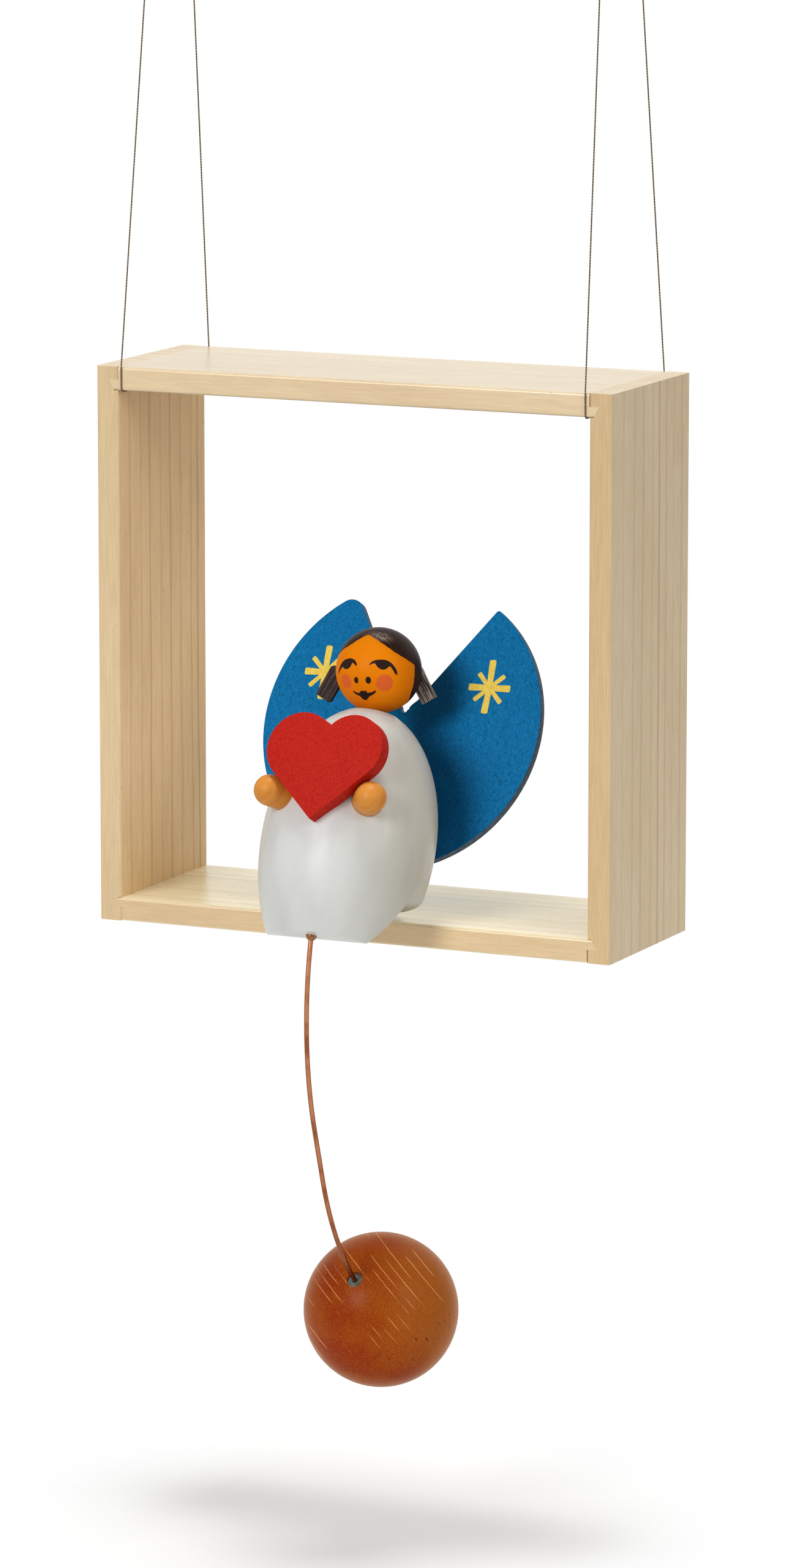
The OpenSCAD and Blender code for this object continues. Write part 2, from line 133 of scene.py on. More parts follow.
def maths(operation, a, b=0.0, c=0.0):
    return addAfter("ShaderNodeMath", {0: a, 1: b, 2: c}, operation=operation).outputs[0]


def plus(a, b):
    return maths("ADD", a, b)


def minus(a, b):
    return maths("SUBTRACT", a, b)


def times(a, b):
    return maths("MULTIPLY", a, b)


def timesPlus(a, b, c):
    return maths("MULTIPLY_ADD", a, b, c)


def vectorMaths(operation, a, b=(0, 0, 0), scale=1.0):
    made = addAfter("ShaderNodeVectorMath", {0: a, 1: b, 3: scale}, operation=operation)
    single = operation in ("LENGTH", "DISTANCE", "DOT_PRODUCT")
    return made.outputs["Value" if single else "Vector"]


def parted(vector):
    return addAfter("ShaderNodeSeparateXYZ", {"Vector": vector}).outputs


def combined(**parts):
    return addAfter("ShaderNodeCombineXYZ", parts).outputs[0]


def fade(value, low, high, toLow=0.0, toHigh=1.0, kind="SMOOTHSTEP"):
    return addAfter("ShaderNodeMapRange", {
        "Value": value, "From Min": low, "From Max": high, "To Min": toLow, "To Max": toHigh},
        interpolation_type=kind).outputs["Result"]


def blendColours(share, a, b, kind="MIX"):
    a, b = (v if isinstance(v, bpy.types.NodeSocket) else (*v, 1) for v in (a, b))
    return addAfter("ShaderNodeMix", {"Factor": share, 6: a, 7: b}, data_type="RGBA",
                    blend_type=kind).outputs[2]


def multiplied(colour, other):
    return blendColours(1.0, colour, other, "MULTIPLY")


def layered(colour, *layers):  # each layer is (share, colour)
    for share, other in layers:
        colour = blendColours(share, colour, other)
    return colour


def noiseAt(vector, scale, detail=2.0, rough=0.5, seed=0.0, distortion=0.0):
    return addAfter("ShaderNodeTexNoise", {
        "Vector": vector, "Scale": scale, "Detail": detail, "Roughness": rough, "W": seed,
        "Distortion": distortion}, noise_dimensions="4D").outputs["Fac"]


def objectPoint(tree, centre=(0, 0, 0), turn=(0, 0, 0)):
    # object coordinates in millimetres from the centre, turned about it
    spot = addNode(tree, "ShaderNodeTexCoord").outputs["Object"]
    moved = vectorMaths("SUBTRACT", spot, Vector(centre))
    return addAfter("ShaderNodeMapping", {
        "Vector": moved, "Rotation": turn, "Scale": (1000, 1000, 1000)},
        vector_type="POINT").outputs["Vector"]


def figurePoint(tree):
    return objectPoint(tree, onFigure(0, 0, 0), (radians(seat["lean"]), 0, 0))


def distanceTo(tree, point):  # in metres
    here = addNode(tree, "ShaderNodeTexCoord").outputs["Object"]
    return vectorMaths("DISTANCE", here, point)


def newGroup(name, kind, inputs, outputs):
    # each socket is (name, kind) or (name, kind, value)
    group = bpy.data.node_groups.new(name, kind + "NodeTree")
    for way, sockets in (("INPUT", inputs), ("OUTPUT", outputs)):
        for key, socketKind, *value in sockets:
            socket = group.interface.new_socket(key, in_out=way,
                                                socket_type="NodeSocket" + socketKind)
            if value:
                socket.default_value = value[0]
    return (group, addNode(group, "NodeGroupInput").outputs,
            addNode(group, "NodeGroupOutput").inputs)


def newMaterial(name, roughness, sheen=0.5, coat=(0.0, 0.03), metallic=0.0):
    made = bpy.data.materials.new(name)
    made.use_nodes = True
    shader = made.node_tree.nodes["Principled BSDF"]
    for key, value in (("Roughness", roughness), ("Specular IOR Level", sheen),
                       ("Coat Weight", coat[0]), ("Coat Roughness", coat[1]),
                       ("Metallic", metallic)):
        shader.inputs[key].default_value = value
    return made, made.node_tree


def painted(material, colour, height=None, strength=0.0, distance=0.0001, roughness=None):
    tree = material.node_tree
    shader = tree.nodes["Principled BSDF"]
    tree.links.new(colour, shader.inputs["Base Color"])
    if roughness is not None:
        tree.links.new(roughness, shader.inputs["Roughness"])
    if height is not None:
        bump = addAfter("ShaderNodeBump", {
            "Height": height, "Strength": strength, "Distance": distance})
        tree.links.new(bump.outputs[0], shader.inputs["Normal"])
    return material


# Shared effects. In each of them the grain runs along Z of the vector that comes in. A noise of
# grainShape is (stretch, shift of the seed, detail, roughness), and one of paintShape is (scale,
# shift of the seed, detail, roughness, distortion).

grainShape = {
    "wander": ((0.05, 0.06, 0.009), 0.0, 2, 0.5), "slant": 0.16, "drift": 4.0,
    "uneven": ((0.0, 0.16, 0.0), 4.7, 1, 0.5), "unevenness": 2.2, "rise": (0.45, 0.93),
    "fall": (0.93, 0.99, 1.0, 0.0), "strength": ((0.1, 0.35, 0.01), 9.1, 1, 0.5),
    "weaker": (0.3, 0.62, 0.25, 1.0), "fibre": ((1.0, 1.0, 0.05), 0.0, 4, 0.65),
    "flecks": ((1.6, 1.6, 0.45), 2.3, 1, 0.5), "fleckScale": 0.5, "fleckEdge": (0.68, 0.78),
    "clouds": ((0.12, 0.12, 0.03), 6.0, 3, 0.55), "fibreHeight": 0.5, "ringHeight": 0.5,
    "fleckDepth": 0.6}
paintShape = {
    "mottle": (0.8, 0.0, 4, 0.7, 0.6), "bend": (0.42, 3.1, 2, 0.55, 0.8),
    "some": (0.3, 5.6, 1, 0.5, 0.0), "sparkle": (1.1, 8.4, 2, 0.6, 0.0), "crease": (0.035, 0.0),
    "someEdge": (0.42, 0.58), "sparkleEdge": (0.58, 0.7), "sparkleHeight": 0.3}


def makeGrainGroup():
    group, into, out = newGroup("woodGrain", "Shader", [
        ("Vector", "Vector"), ("Ring Spacing", "Float", 3.3), ("Wander", "Float", 1.0),
        ("Fineness", "Float", 3.0), ("Seed", "Float", 0.0)],
        [(key, "Float") for key in ("Rings", "Fibre", "Flecks", "Clouds", "Height")])
    spot, seed, fine = into["Vector"], into["Seed"], into["Fineness"]

    def noiseOf(key, fineness=None, scale=1):
        stretch, shift, detail, rough = grainShape[key]
        vector = vectorMaths("MULTIPLY", spot, stretch)
        if fineness is not None:
            vector = vectorMaths("SCALE", vector, scale=fineness)
        return noiseAt(vector, scale, detail, rough, plus(seed, shift))

    parts = parted(spot)
    drift = times(minus(noiseOf("wander"), 0.5), into["Wander"])
    across = plus(parts["Y"], times(parts["X"], grainShape["slant"]))
    across = plus(across, times(drift, grainShape["drift"]))
    phase = plus(maths("DIVIDE", across, into["Ring Spacing"]),
                 times(noiseOf("uneven"), grainShape["unevenness"]))
    share = maths("FRACT", plus(phase, seed))
    rings = times(fade(share, *grainShape["rise"]), fade(share, *grainShape["fall"]))
    rings = times(rings, fade(noiseOf("strength"), *grainShape["weaker"]))
    fibre = noiseOf("fibre", fine)
    flecks = fade(noiseOf("flecks", fine, grainShape["fleckScale"]), *grainShape["fleckEdge"])
    height = plus(times(fibre, grainShape["fibreHeight"]), times(rings, grainShape["ringHeight"]))
    height = minus(height, times(flecks, grainShape["fleckDepth"]))
    for key, value in (("Rings", rings), ("Fibre", fibre), ("Flecks", flecks),
                       ("Clouds", noiseOf("clouds")), ("Height", height)):
        group.links.new(value, out[key])
    return group


def makePaintGroup():
    # paint over wood: a fine mottle, thin wrinkles along the grain and pale grains
    group, into, out = newGroup("paintOverWood", "Shader", [
        ("Vector", "Vector"), ("Grain Size", "Float", 0.4), ("Stretch", "Float", 3.0),
        ("Seed", "Float", 0.0)],
        [(key, "Float") for key in ("Mottle", "Wrinkles", "Sparkle", "Height")])
    parts = parted(into["Vector"])
    squeezed = maths("DIVIDE", parts["Z"], into["Stretch"])
    spot = vectorMaths("SCALE", combined(X=parts["X"], Y=parts["Y"], Z=squeezed),
                       scale=maths("DIVIDE", 1.0, into["Grain Size"]))

    def noiseOf(key):
        scale, shift, detail, rough, distortion = paintShape[key]
        seed = plus(into["Seed"], shift)
        return noiseAt(spot, scale, detail, rough, seed, distortion)

    crease = maths("ABSOLUTE", minus(noiseOf("bend"), 0.5))
    wrinkles = times(fade(crease, *paintShape["crease"]),
                     fade(noiseOf("some"), *paintShape["someEdge"]))
    sparkle = fade(noiseOf("sparkle"), *paintShape["sparkleEdge"])
    mottle = noiseOf("mottle")
    height = minus(timesPlus(sparkle, paintShape["sparkleHeight"], mottle), wrinkles)
    for key, value in (("Mottle", mottle), ("Wrinkles", wrinkles), ("Sparkle", sparkle),
                       ("Height", height)):
        group.links.new(value, out[key])
    return group


print("Shared shader groups")
woodGrain = makeGrainGroup()
paintOverWood = makePaintGroup()


def grainAt(spot, seed, spacing, wander, fineness=3.0):
    return addAfter("ShaderNodeGroup", {
        "Vector": spot, "Ring Spacing": spacing, "Wander": wander, "Fineness": fineness,
        "Seed": seed}, node_tree=woodGrain).outputs


# Boards: the growth lines of each are given as (place, strength, softness) in millimetres, and the
# painted light and shade of its faces along each axis, which are ends and sides, front and back,
# top and underside

pine = {
    "early": (0.8, 0.64, 0.42), "late": (0.46, 0.27, 0.135), "fleck": (0.42, 0.26, 0.13),
    "upright": (0.5, 0.62, 0.65), "level": (0.24, 0.32, 0.9), "reach": 22.0, "lineEdge": 0.28,
    "waveStretch": (0.02, 0.05, 0.012), "waves": 2.2, "fray": 0.3, "clouded": (0.94, 0.91, 0.87),
    "cloudEdge": (0.3, 0.7), "dim": (0.93, 0.91, 0.88), "clear": (1.03, 1.03, 1.02),
    "streakEdge": (0.35, 0.65), "flecks": 0.35}
boards = {
    "left": {"seed": 0.35, "lines": [
        (-14.6, 0.36, 0.9), (-9.8, 0.28, 0.8), (-5.8, 0.6, 0.8), (-0.9, 0.26, 1.0),
        (3.3, 0.6, 0.8), (8.0, 0.36, 1.0), (12.9, 0.45, 0.8), (15.8, 0.75, 0.7)],
        "faceShading": [(1.2, 1.05, 0.84), (0.93, 0.88, 0.77), (0.82, 0.87, 1.0)]},
    "right": {"seed": 1.9, "lines": [
        (-13.2, 0.16, 1.2), (-8.2, 0.32, 0.9), (-4.0, 0.36, 1.0), (1.0, 0.24, 1.3),
        (4.4, 0.7, 1.0), (7.8, 0.34, 1.0), (11.5, 0.16, 1.2), (15.4, 0.38, 0.9)],
        "faceShading": [(0.93, 0.93, 0.92), (0.86, 0.775, 0.62), (0.8, 0.85, 0.95)]},
    "top": {"seed": 3.2, "lines": [
        (-12.0, 0.1, 1.6), (-4.5, 0.12, 1.8), (3.0, 0.1, 1.8), (9.0, 0.16, 1.5),
        (14.5, 0.22, 1.2)],
        "faceShading": [(1.0, 0.96, 0.9), (1.02, 0.99, 0.93), (0.8, 0.83, 0.85)]},
    "bottom": {"seed": 5.1, "lines": [
        (-14.8, 0.34, 1.8), (-10.5, 0.14, 1.5), (-5.2, 0.22, 1.8), (0.6, 0.12, 1.8),
        (7.5, 0.34, 1.4), (11.3, 0.4, 1.2), (15.8, 0.2, 1.2)],
        "faceShading": [(1.0, 0.96, 0.9), (0.95, 0.87, 0.74), (1.22, 1.38, 1.42)]},
    "rod": {"seed": 7.3, "lines": [(4.8, 0.3, 0.8), (6.4, 0.4, 0.8), (8.0, 0.3, 0.8)],
            "faceShading": [(0.97, 0.95, 0.9)] * 3}}


def growthLines(across, lines):
    # each line is dark at its place, and soft on its front side
    reach = pine["reach"]
    ramp = addAfter("ShaderNodeValToRGB", {"Fac": fade(across, -reach, reach, kind="LINEAR")})
    stops = ramp.color_ramp.elements
    stops[0].color = stops[1].color = (0, 0, 0, 1)
    for middle, strength, softness in lines:
        for at, level in ((middle - softness, 0.0), (middle, strength),
                          (middle + pine["lineEdge"], 0.0)):
            stops.new((at + reach) / (2 * reach)).color = (level, level, level, 1)
    return ramp.outputs["Color"]


def paintedFaceShading(tree, faceShading):
    normal = addNode(tree, "ShaderNodeTexCoord").outputs["Normal"]
    shares = parted(vectorMaths("MULTIPLY", normal, normal))
    total, *others = [vectorMaths("SCALE", tone, scale=shares[axis])
                      for axis, tone in zip("XYZ", faceShading)]
    for other in others:
        total = vectorMaths("ADD", total, other)
    return total


def makePine(name, board, turn=0.0, finish="upright"):
    low, high, sheen = pine[finish]
    made, tree = newMaterial(name, high, sheen)
    spot = objectPoint(tree, place(0, 0, 0), (0, turn, 0))
    grain = grainAt(spot, board["seed"], spacing=4.0, wander=0.6)
    stretched = vectorMaths("MULTIPLY", spot, pine["waveStretch"])
    slow = noiseAt(stretched, 1, 2, 0.5, board["seed"])
    across = timesPlus(minus(slow, 0.5), pine["waves"], parted(spot)["Y"])
    across = timesPlus(minus(grain["Fibre"], 0.5), pine["fray"], across)
    colour = blendColours(growthLines(across, board["lines"]), pine["early"], pine["late"])
    # painted light and shade: each face is tinted lighter or darker by the way it faces
    colour = multiplied(colour, paintedFaceShading(tree, board["faceShading"]))
    for key, edge, dark, pale in (("Clouds", "cloudEdge", pine["clouded"], (1, 1, 1)),
                                  ("Fibre", "streakEdge", pine["dim"], pine["clear"])):
        share = fade(grain[key], *pine[edge])
        colour = multiplied(colour, blendColours(share, dark, pale))
    colour = layered(colour, (times(grain["Flecks"], pine["flecks"]), pine["fleck"]))
    return painted(made, colour, grain["Height"], strength=0.25,
                   roughness=fade(grain["Fibre"], 0.3, 0.7, high, low, "LINEAR"))


# Body

whitePaint = {
    "base": (0.66, 0.67, 0.65), "dull": (0.58, 0.575, 0.545), "dullEdge": (0.35, 0.75),
    "pale": (0.9, 0.9, 0.9), "paleShare": 0.1, "roughness": 0.36, "shadeEdge": (3.0, 15.0),
    "shadedSide": (0.86, 0.84, 0.78)}


def makeWhitePaint():
    made, tree = newMaterial("whitePaint", whitePaint["roughness"], sheen=0.3, coat=(0.08, 0.22))
    spot = figurePoint(tree)
    grain = grainAt(spot, seed=3.0, spacing=2.6, wander=0.8)
    colour = layered(whitePaint["base"],
                     (fade(grain["Clouds"], *whitePaint["dullEdge"]), whitePaint["dull"]),
                     (times(grain["Fibre"], whitePaint["paleShare"]), whitePaint["pale"]))
    # painted shade: the body is darker and warmer on its right side, which lies in shade
    side = fade(parted(spot)["X"], *whitePaint["shadeEdge"])
    shadedSide = blendColours(side, (1, 1, 1), whitePaint["shadedSide"])
    return painted(made, multiplied(colour, shadedSide), grain["Height"], strength=0.12)


# Thick paint of wings, heart and stars. Its bump is (strength, distance in metres).

star = {
    "middles": [(16.95, 58.15), (-18.9, 58.85)], "upright": 5.5, "level": 4.35, "slanting": 4.1,
    "wide": 1.4, "narrow": 0.96, "lift": 0.03, "step": 0.003, "wingFace": 14.5, "seed": 4,
    "strokes": 8, "looseLength": 0.06, "looseTurn": 0.05, "squareEnd": 0.18, "squareSide": 0.4,
    "taper": (0.24, 0.93)}
bluePaint = {
    "sheen": 0.06, "grainSize": 0.22, "stretch": 1.6, "seed": 1.5, "mottle": (0.38, 0.62),
    "deep": (0.002, 0.15, 0.4), "bright": (0.004, 0.23, 0.55), "crease": (0.001, 0.03, 0.11),
    "creases": 0.3, "grain": (0.05, 0.35, 0.68), "grains": 0.35, "bump": (0.5, 0.00012),
    "rim": (0.055, 0.1, 0.19), "rimWorn": (0.13, 0.17, 0.24)}
redPaint = {
    "sheen": 0.06, "grainSize": 0.17, "stretch": 1.1, "seed": 5.5, "mottle": (0.34, 0.62),
    "deep": (0.42, 0.008, 0.005), "bright": (0.54, 0.02, 0.01), "crease": (0.26, 0.004, 0.004),
    "creases": 0.4, "grain": (0.68, 0.06, 0.035), "grains": 0.4, "bump": (0.45, 0.0001),
    "rim": (0.43, 0.009, 0.004), "rimWorn": (0.5, 0.02, 0.01)}
yellowPaint = {
    "sheen": 0.1, "grainSize": 0.35, "stretch": 2.0, "seed": 7.5, "mottle": (0.35, 0.65),
    "deep": (0.94, 0.64, 0.07), "bright": (1.0, 0.8, 0.16), "crease": (0.45, 0.28, 0.03),
    "creases": 0.3, "grain": None, "bump": (0.3, 0.0001)}
wingShade = {
    "bodyHalf": (17.0, 27.2), "waist": 20.8, "headHeight": 55.9, "headRadius": 8.4,
    "reach": (-1.0, 7.0), "shade": 0.55, "rightSide": (0.0, 4.0), "behindFace": 0.5}


def paintedWingShade(spot):
    # painted shade: the right wing's front face is darker beside the body and the head, where their
    # shadow falls on it and where they meet it
    parts = parted(spot)
    half, tall = wingShade["bodyHalf"]
    level = times(minus(parts["Z"], wingShade["waist"]), half / tall)
    fromBody = vectorMaths("LENGTH", combined(X=parts["X"], Y=level))
    level = minus(parts["Z"], wingShade["headHeight"])
    fromHead = vectorMaths("LENGTH", combined(X=parts["X"], Y=level))
    near = maths("MINIMUM", minus(fromBody, half), minus(fromHead, wingShade["headRadius"]))
    dark = times(fade(near, *wingShade["reach"], wingShade["shade"], 0.0),
                 fade(parts["X"], *wingShade["rightSide"]))
    front = maths("LESS_THAN", parts["Y"], star["wingFace"] + wingShade["behindFace"])
    return times(dark, front)


def makeThickPaint(name, look, shade=None):
    made, tree = newMaterial(name, roughness=0.5, sheen=look["sheen"])
    spot = figurePoint(tree)
    paint = addAfter("ShaderNodeGroup", {
        "Vector": spot, "Grain Size": look["grainSize"], "Stretch": look["stretch"],
        "Seed": look["seed"]}, node_tree=paintOverWood).outputs
    colour = blendColours(fade(paint["Mottle"], *look["mottle"]), look["deep"], look["bright"])
    # painted shade beside the body and head, laid on in the crease colour
    if shade:
        colour = layered(colour, (shade(spot), look["crease"]))
    colour = layered(colour, (times(paint["Wrinkles"], look["creases"]), look["crease"]))
    if look["grain"]:
        colour = layered(colour, (times(paint["Sparkle"], look["grains"]), look["grain"]))
    return painted(made, colour, paint["Height"], *look["bump"])


# Head, hair, pigtails and features

headSizes = {"radius": 8.4, "q": -1.1, "s": 55.85}
head = onFigure(0, headSizes["q"], headSizes["s"])
face = {
    "skin": (0.9, 0.255, 0.002), "warm": (0.82, 0.19, 0.001), "fleck": (0.45, 0.1, 0.01),
    "cheek": (0.76, 0.115, 0.035), "cheeks": [(33.0, -8.0, 1.88), (-25.0, -8.8, 1.62)],
    "cheekEdge": 0.35, "cheekShare": 0.8, "ink": (0.022, 0.009, 0.007),
    "inkWorn": (0.2, 0.14, 0.12), "inkFibre": (0.62, 0.72), "inkWear": 0.5, "step": 2.6,
    "lift": 0.035, "warmEdge": (0.3, 0.75), "flecks": 0.25}
hair = {
    "lift": 0.05, "tuck": 0.2, "sectors": 180, "rings": 26, "turn": (0.35, 0.75, 0),
    "dark": (0.024, 0.01, 0.007), "streak": (0.046, 0.022, 0.015), "worn": (0.38, 0.3, 0.26),
    "highlightAt": (31.0, 61.0), "highlightReach": (0.26, 0.55, 0.55), "highlightEdge": (1.1, 0.1),
    "highlightShare": 0.85, "highlightFibre": (0.38, 0.62), "fibre": (0.45, 0.72)}
chip = {
    "widths": (3.4, 3.0), "places": ((-11.4, -0.8), (8.9, 4.5)), "thick": 1.8, "length": 6.5,
    "splay": 30.0, "drop": 6.1, "groove": 0.16, "spare": 0.1, "crack": (0.012, 0.006, 0.005),
    "left": (0.06, 0.036, 0.03), "right": (0.4, 0.32, 0.28), "cuts": (34, 18, 40),
    "ridges": (2200, 2200, 160), "ridgeMiddle": 0.55, "ridgeGain": 3.0, "fibre": (0.4, 0.54),
    "patches": (1.8, 1.8, 0.7), "patchEdge": (0.32, 0.46)}


def onHead(lon, lat, lift=0.0):  # degrees round the upright head, from its front
    a, b = radians(lon), radians(lat)
    out = Vector((sin(a) * cos(b), -cos(a) * cos(b), sin(b)))
    return head + out * (headSizes["radius"] + lift) * mm


def makeSkin():
    made, tree = newMaterial("orangePaint", roughness=0.42, sheen=0.04)
    grain = grainAt(objectPoint(tree, head), seed=8.0, spacing=1.6, wander=0.8)
    colour = layered(face["skin"], (fade(grain["Clouds"], *face["warmEdge"]), face["warm"]),
                     (times(grain["Flecks"], face["flecks"]), face["fleck"]))
    for lon, lat, radius in face["cheeks"]:
        edge = fade(distanceTo(tree, onHead(lon, lat)), radius * mm,
                    (radius - face["cheekEdge"]) * mm, 0.0, face["cheekShare"])
        colour = layered(colour, (edge, face["cheek"]))
    return painted(made, colour, grain["Height"], strength=0.1)


def makeHairPaint():
    made, tree = newMaterial("hairPaint", roughness=0.42, sheen=0.05, coat=(0.06, 0.2))
    grain = grainAt(objectPoint(tree, head, hair["turn"]), seed=2.0, spacing=60.0, wander=0.0,
                    fineness=4.0)
    # painted highlight: a pale patch on the crown in the worn colour, streaked along the fibre
    away = objectPoint(tree, onHead(*hair["highlightAt"]))
    far = vectorMaths("LENGTH", vectorMaths("MULTIPLY", away, hair["highlightReach"]))
    highlight = times(fade(far, *hair["highlightEdge"]), fade(grain["Fibre"], *hair["highlightFibre"]))
    colour = layered(hair["dark"], (fade(grain["Fibre"], *hair["fibre"]), hair["streak"]),
                     (times(highlight, hair["highlightShare"]), hair["worn"]))
    return painted(made, colour, grain["Fibre"], strength=0.3, distance=0.00012)


def makeChipPaint(name, side, pale, seed):
    # dark split wood with pale ridges: the pale is partly the wood's own streaks and partly a
    # painted highlight, strongest on the right chip
    made, tree = newMaterial(name, roughness=0.5, sheen=0.3)
    spot = objectPoint(tree, head, (0, side * radians(chip["splay"]), 0))
    grain = grainAt(spot, seed, spacing=60.0, wander=0.0, fineness=2.4)
    broken = noiseAt(vectorMaths("MULTIPLY", spot, chip["patches"]), 1, 3, 0.6, seed)
    ridges = times(fade(grain["Fibre"], *chip["fibre"]), fade(broken, *chip["patchEdge"]))
    return painted(made, blendColours(ridges, chip["crack"], pale), ridges, strength=0.5,
                   distance=0.0002)


def makeInk():
    made, tree = newMaterial("darkPaint", roughness=0.45, sheen=0.08)
    grain = grainAt(objectPoint(tree, head), seed=1.0, spacing=0.8, wander=0.5, fineness=6.0)
    worn = times(fade(grain["Fibre"], *face["inkFibre"]), face["inkWear"])
    colour = blendColours(worn, face["ink"], face["inkWorn"])
    return painted(made, colour, grain["Height"], strength=0.2)


# Hands. The right one has a knot, a dark mark at its place on the figure.

handWood = {
    "base": (0.67, 0.26, 0.037), "dark": (0.48, 0.155, 0.018), "knot": (13.9, -18.2, 25.2),
    "knotColour": (0.1, 0.03, 0.009), "knotEdge": (0.95, 0.5), "knotShare": 0.55,
    "knotRagged": 0.6, "fibre": (0.5, 0.75), "streaks": 0.4, "rings": 0.35}


def makeHandWood(name, seed, knot=None):
    made, tree = newMaterial(name, roughness=0.38, sheen=0.2)
    grain = grainAt(figurePoint(tree), seed, spacing=1.9, wander=1.2, fineness=4.0)
    streaks = times(fade(grain["Fibre"], *handWood["fibre"]), handWood["streaks"])
    colour = layered(handWood["base"],
                     (times(grain["Rings"], handWood["rings"]), handWood["dark"]),
                     (streaks, handWood["dark"]))
    if knot:
        ragged = plus(distanceTo(tree, onFigure(*knot)),
                      times(grain["Fibre"], handWood["knotRagged"] * mm))
        outer, inner = handWood["knotEdge"]
        mark = fade(ragged, outer * mm, inner * mm, 0.0, handWood["knotShare"])
        colour = layered(colour, (mark, handWood["knotColour"]))
    return painted(made, colour, grain["Height"], strength=0.12)


# Counterweight ball: across and along are the directions of its rays

ballWood = {
    "base": (0.31, 0.052, 0.002), "red": (0.27, 0.028, 0.001), "gold": (0.42, 0.13, 0.014),
    "ray": (0.85, 0.36, 0.12), "dash": (0.09, 0.018, 0.003), "rim": (0.52, 0.26, 0.09),
    "across": (0.65, 0.42, 0.63), "along": (0.64, 0.15, -0.75), "litSide": (1.0, 0.0, 0.3),
    "litSideEdge": (4.0, 15.0, 0.0, 0.6), "raySide": (-0.5, -0.2, 1.0), "rayEdge": (-7.0, -1.0),
    "raySpacing": 1.7, "raySway": 0.1, "rayRoom": (0.8, 0.1), "rayWidth": (0.05, 0.02),
    "rayGaps": (0.48, 0.6, 0.0, 0.8), "patches": (0.11, 2, 0.5, 1.0), "redEdge": (0.38, 0.62),
    "specks": (3.4, 3, 0.75, 2.0), "paleEdge": (0.5, 0.7, 0.0, 0.75),
    "darkEdge": (0.46, 0.3, 0.0, 0.5), "dashSize": (2.6, 0.8), "dashEdge": (0.66, 0.72, 0.0, 0.8),
    "grazingSheenEdge": (0.35, 1.0, 0.0, 0.55)}


def makeBallWood(centre):
    made, tree = newMaterial("stainedWood", roughness=0.38, sheen=0.05, coat=(0.03, 0.2))
    spot = objectPoint(tree, centre)

    def reach(key):
        return vectorMaths("DOT_PRODUCT", spot, ballWood[key])

    def noiseOf(x, y, z, seed):
        return noiseAt(combined(X=x, Y=y, Z=z), 1, 1, 0.5, seed)

    across, along, side = reach("across"), reach("along"), reach("litSide")
    patches = noiseAt(spot, *ballWood["patches"])
    grainy = noiseAt(spot, *ballWood["specks"])
    # rays: straight parallel lines, each with its own lengths and gaps
    bent = timesPlus(noiseOf(across, along, 0.0, 5.0), ballWood["raySway"],
                     maths("DIVIDE", across, ballWood["raySpacing"]))
    number = maths("FLOOR", bent)
    middle = timesPlus(noiseOf(times(number, 7.3), 0.0, 0.0, 1.0), *ballWood["rayRoom"])
    offset = maths("ABSOLUTE", minus(maths("FRACT", bent), middle))
    shown = noiseOf(times(number, 5.1), times(along, 0.13), 0.0, 3.0)
    upper = fade(reach("raySide"), *ballWood["rayEdge"])
    rays = times(fade(offset, *ballWood["rayWidth"]), fade(shown, *ballWood["rayGaps"]))
    wide, long = ballWood["dashSize"]
    dashes = noiseOf(times(across, wide), times(along, long), side, 7.0)
    dashes = times(fade(dashes, *ballWood["dashEdge"]), minus(1.0, upper))
    # painted highlight: the ball is paler gold towards its right and upper side, and a paler tan
    # rim, by the Layer Weight facing, stands in for its reflection at grazing angles
    edge = addNode(tree, "ShaderNodeLayerWeight", {"Blend": 0.35}).outputs["Facing"]
    colour = layered(
        ballWood["base"], (fade(patches, *ballWood["redEdge"]), ballWood["red"]),
        (fade(side, *ballWood["litSideEdge"]), ballWood["gold"]),
        (fade(grainy, *ballWood["paleEdge"]), ballWood["gold"]),
        (fade(grainy, *ballWood["darkEdge"]), ballWood["dash"]),
        (times(rays, upper), ballWood["ray"]), (dashes, ballWood["dash"]),
        (fade(edge, *ballWood["grazingSheenEdge"]), ballWood["rim"]))
    return painted(made, colour, minus(grainy, dashes), strength=0.25)


# Wire, threads, pin and glue

wire = {
    "diameter": 0.95, "upperRadius": 67.5, "upperBend": 33.5, "straight": 11.2, "lowerRadius": 59.0,
    "lowerBend": 26.6, "start": 14.8, "exitQ": 8.8, "depth": 8.0, "bright": (0.5, 0.2, 0.09),
    "middle": (0.29, 0.09, 0.035), "edge": (0.09, 0.022, 0.008), "tarnish": (0.4, 0.65),
    "inner": (0.12, 0.45), "outer": (0.45, 0.85), "drawn": (0.3, 0.7, 0.18, 0.32)}


def makeCopper():
    made, tree = newMaterial("copper", roughness=0.24, metallic=1.0)
    spot = objectPoint(tree)
    # painted highlight and shade: by the Layer Weight facing the wire is bright where it faces the
    # view and dark towards its sides; the noise is tarnish
    turned = addNode(tree, "ShaderNodeLayerWeight", {"Blend": 0.5}).outputs["Facing"]
    colour = layered(wire["bright"],
                     (fade(noiseAt(spot, 0.25), *wire["tarnish"]), wire["middle"]),
                     (fade(turned, *wire["inner"]), wire["middle"]),
                     (fade(turned, *wire["outer"]), wire["edge"]))
    drawn = fade(noiseAt(spot, 4.0), *wire["drawn"], "LINEAR")
    return painted(made, colour, roughness=drawn)


def makePlain(name, colour, other, roughness, scale, **settings):
    made, tree = newMaterial(name, roughness, **settings)
    mottle = noiseAt(objectPoint(tree), scale, 3, 0.6)
    colour = blendColours(fade(mottle, 0.35, 0.65), colour, other)
    return painted(made, colour, mottle, strength=0.1)


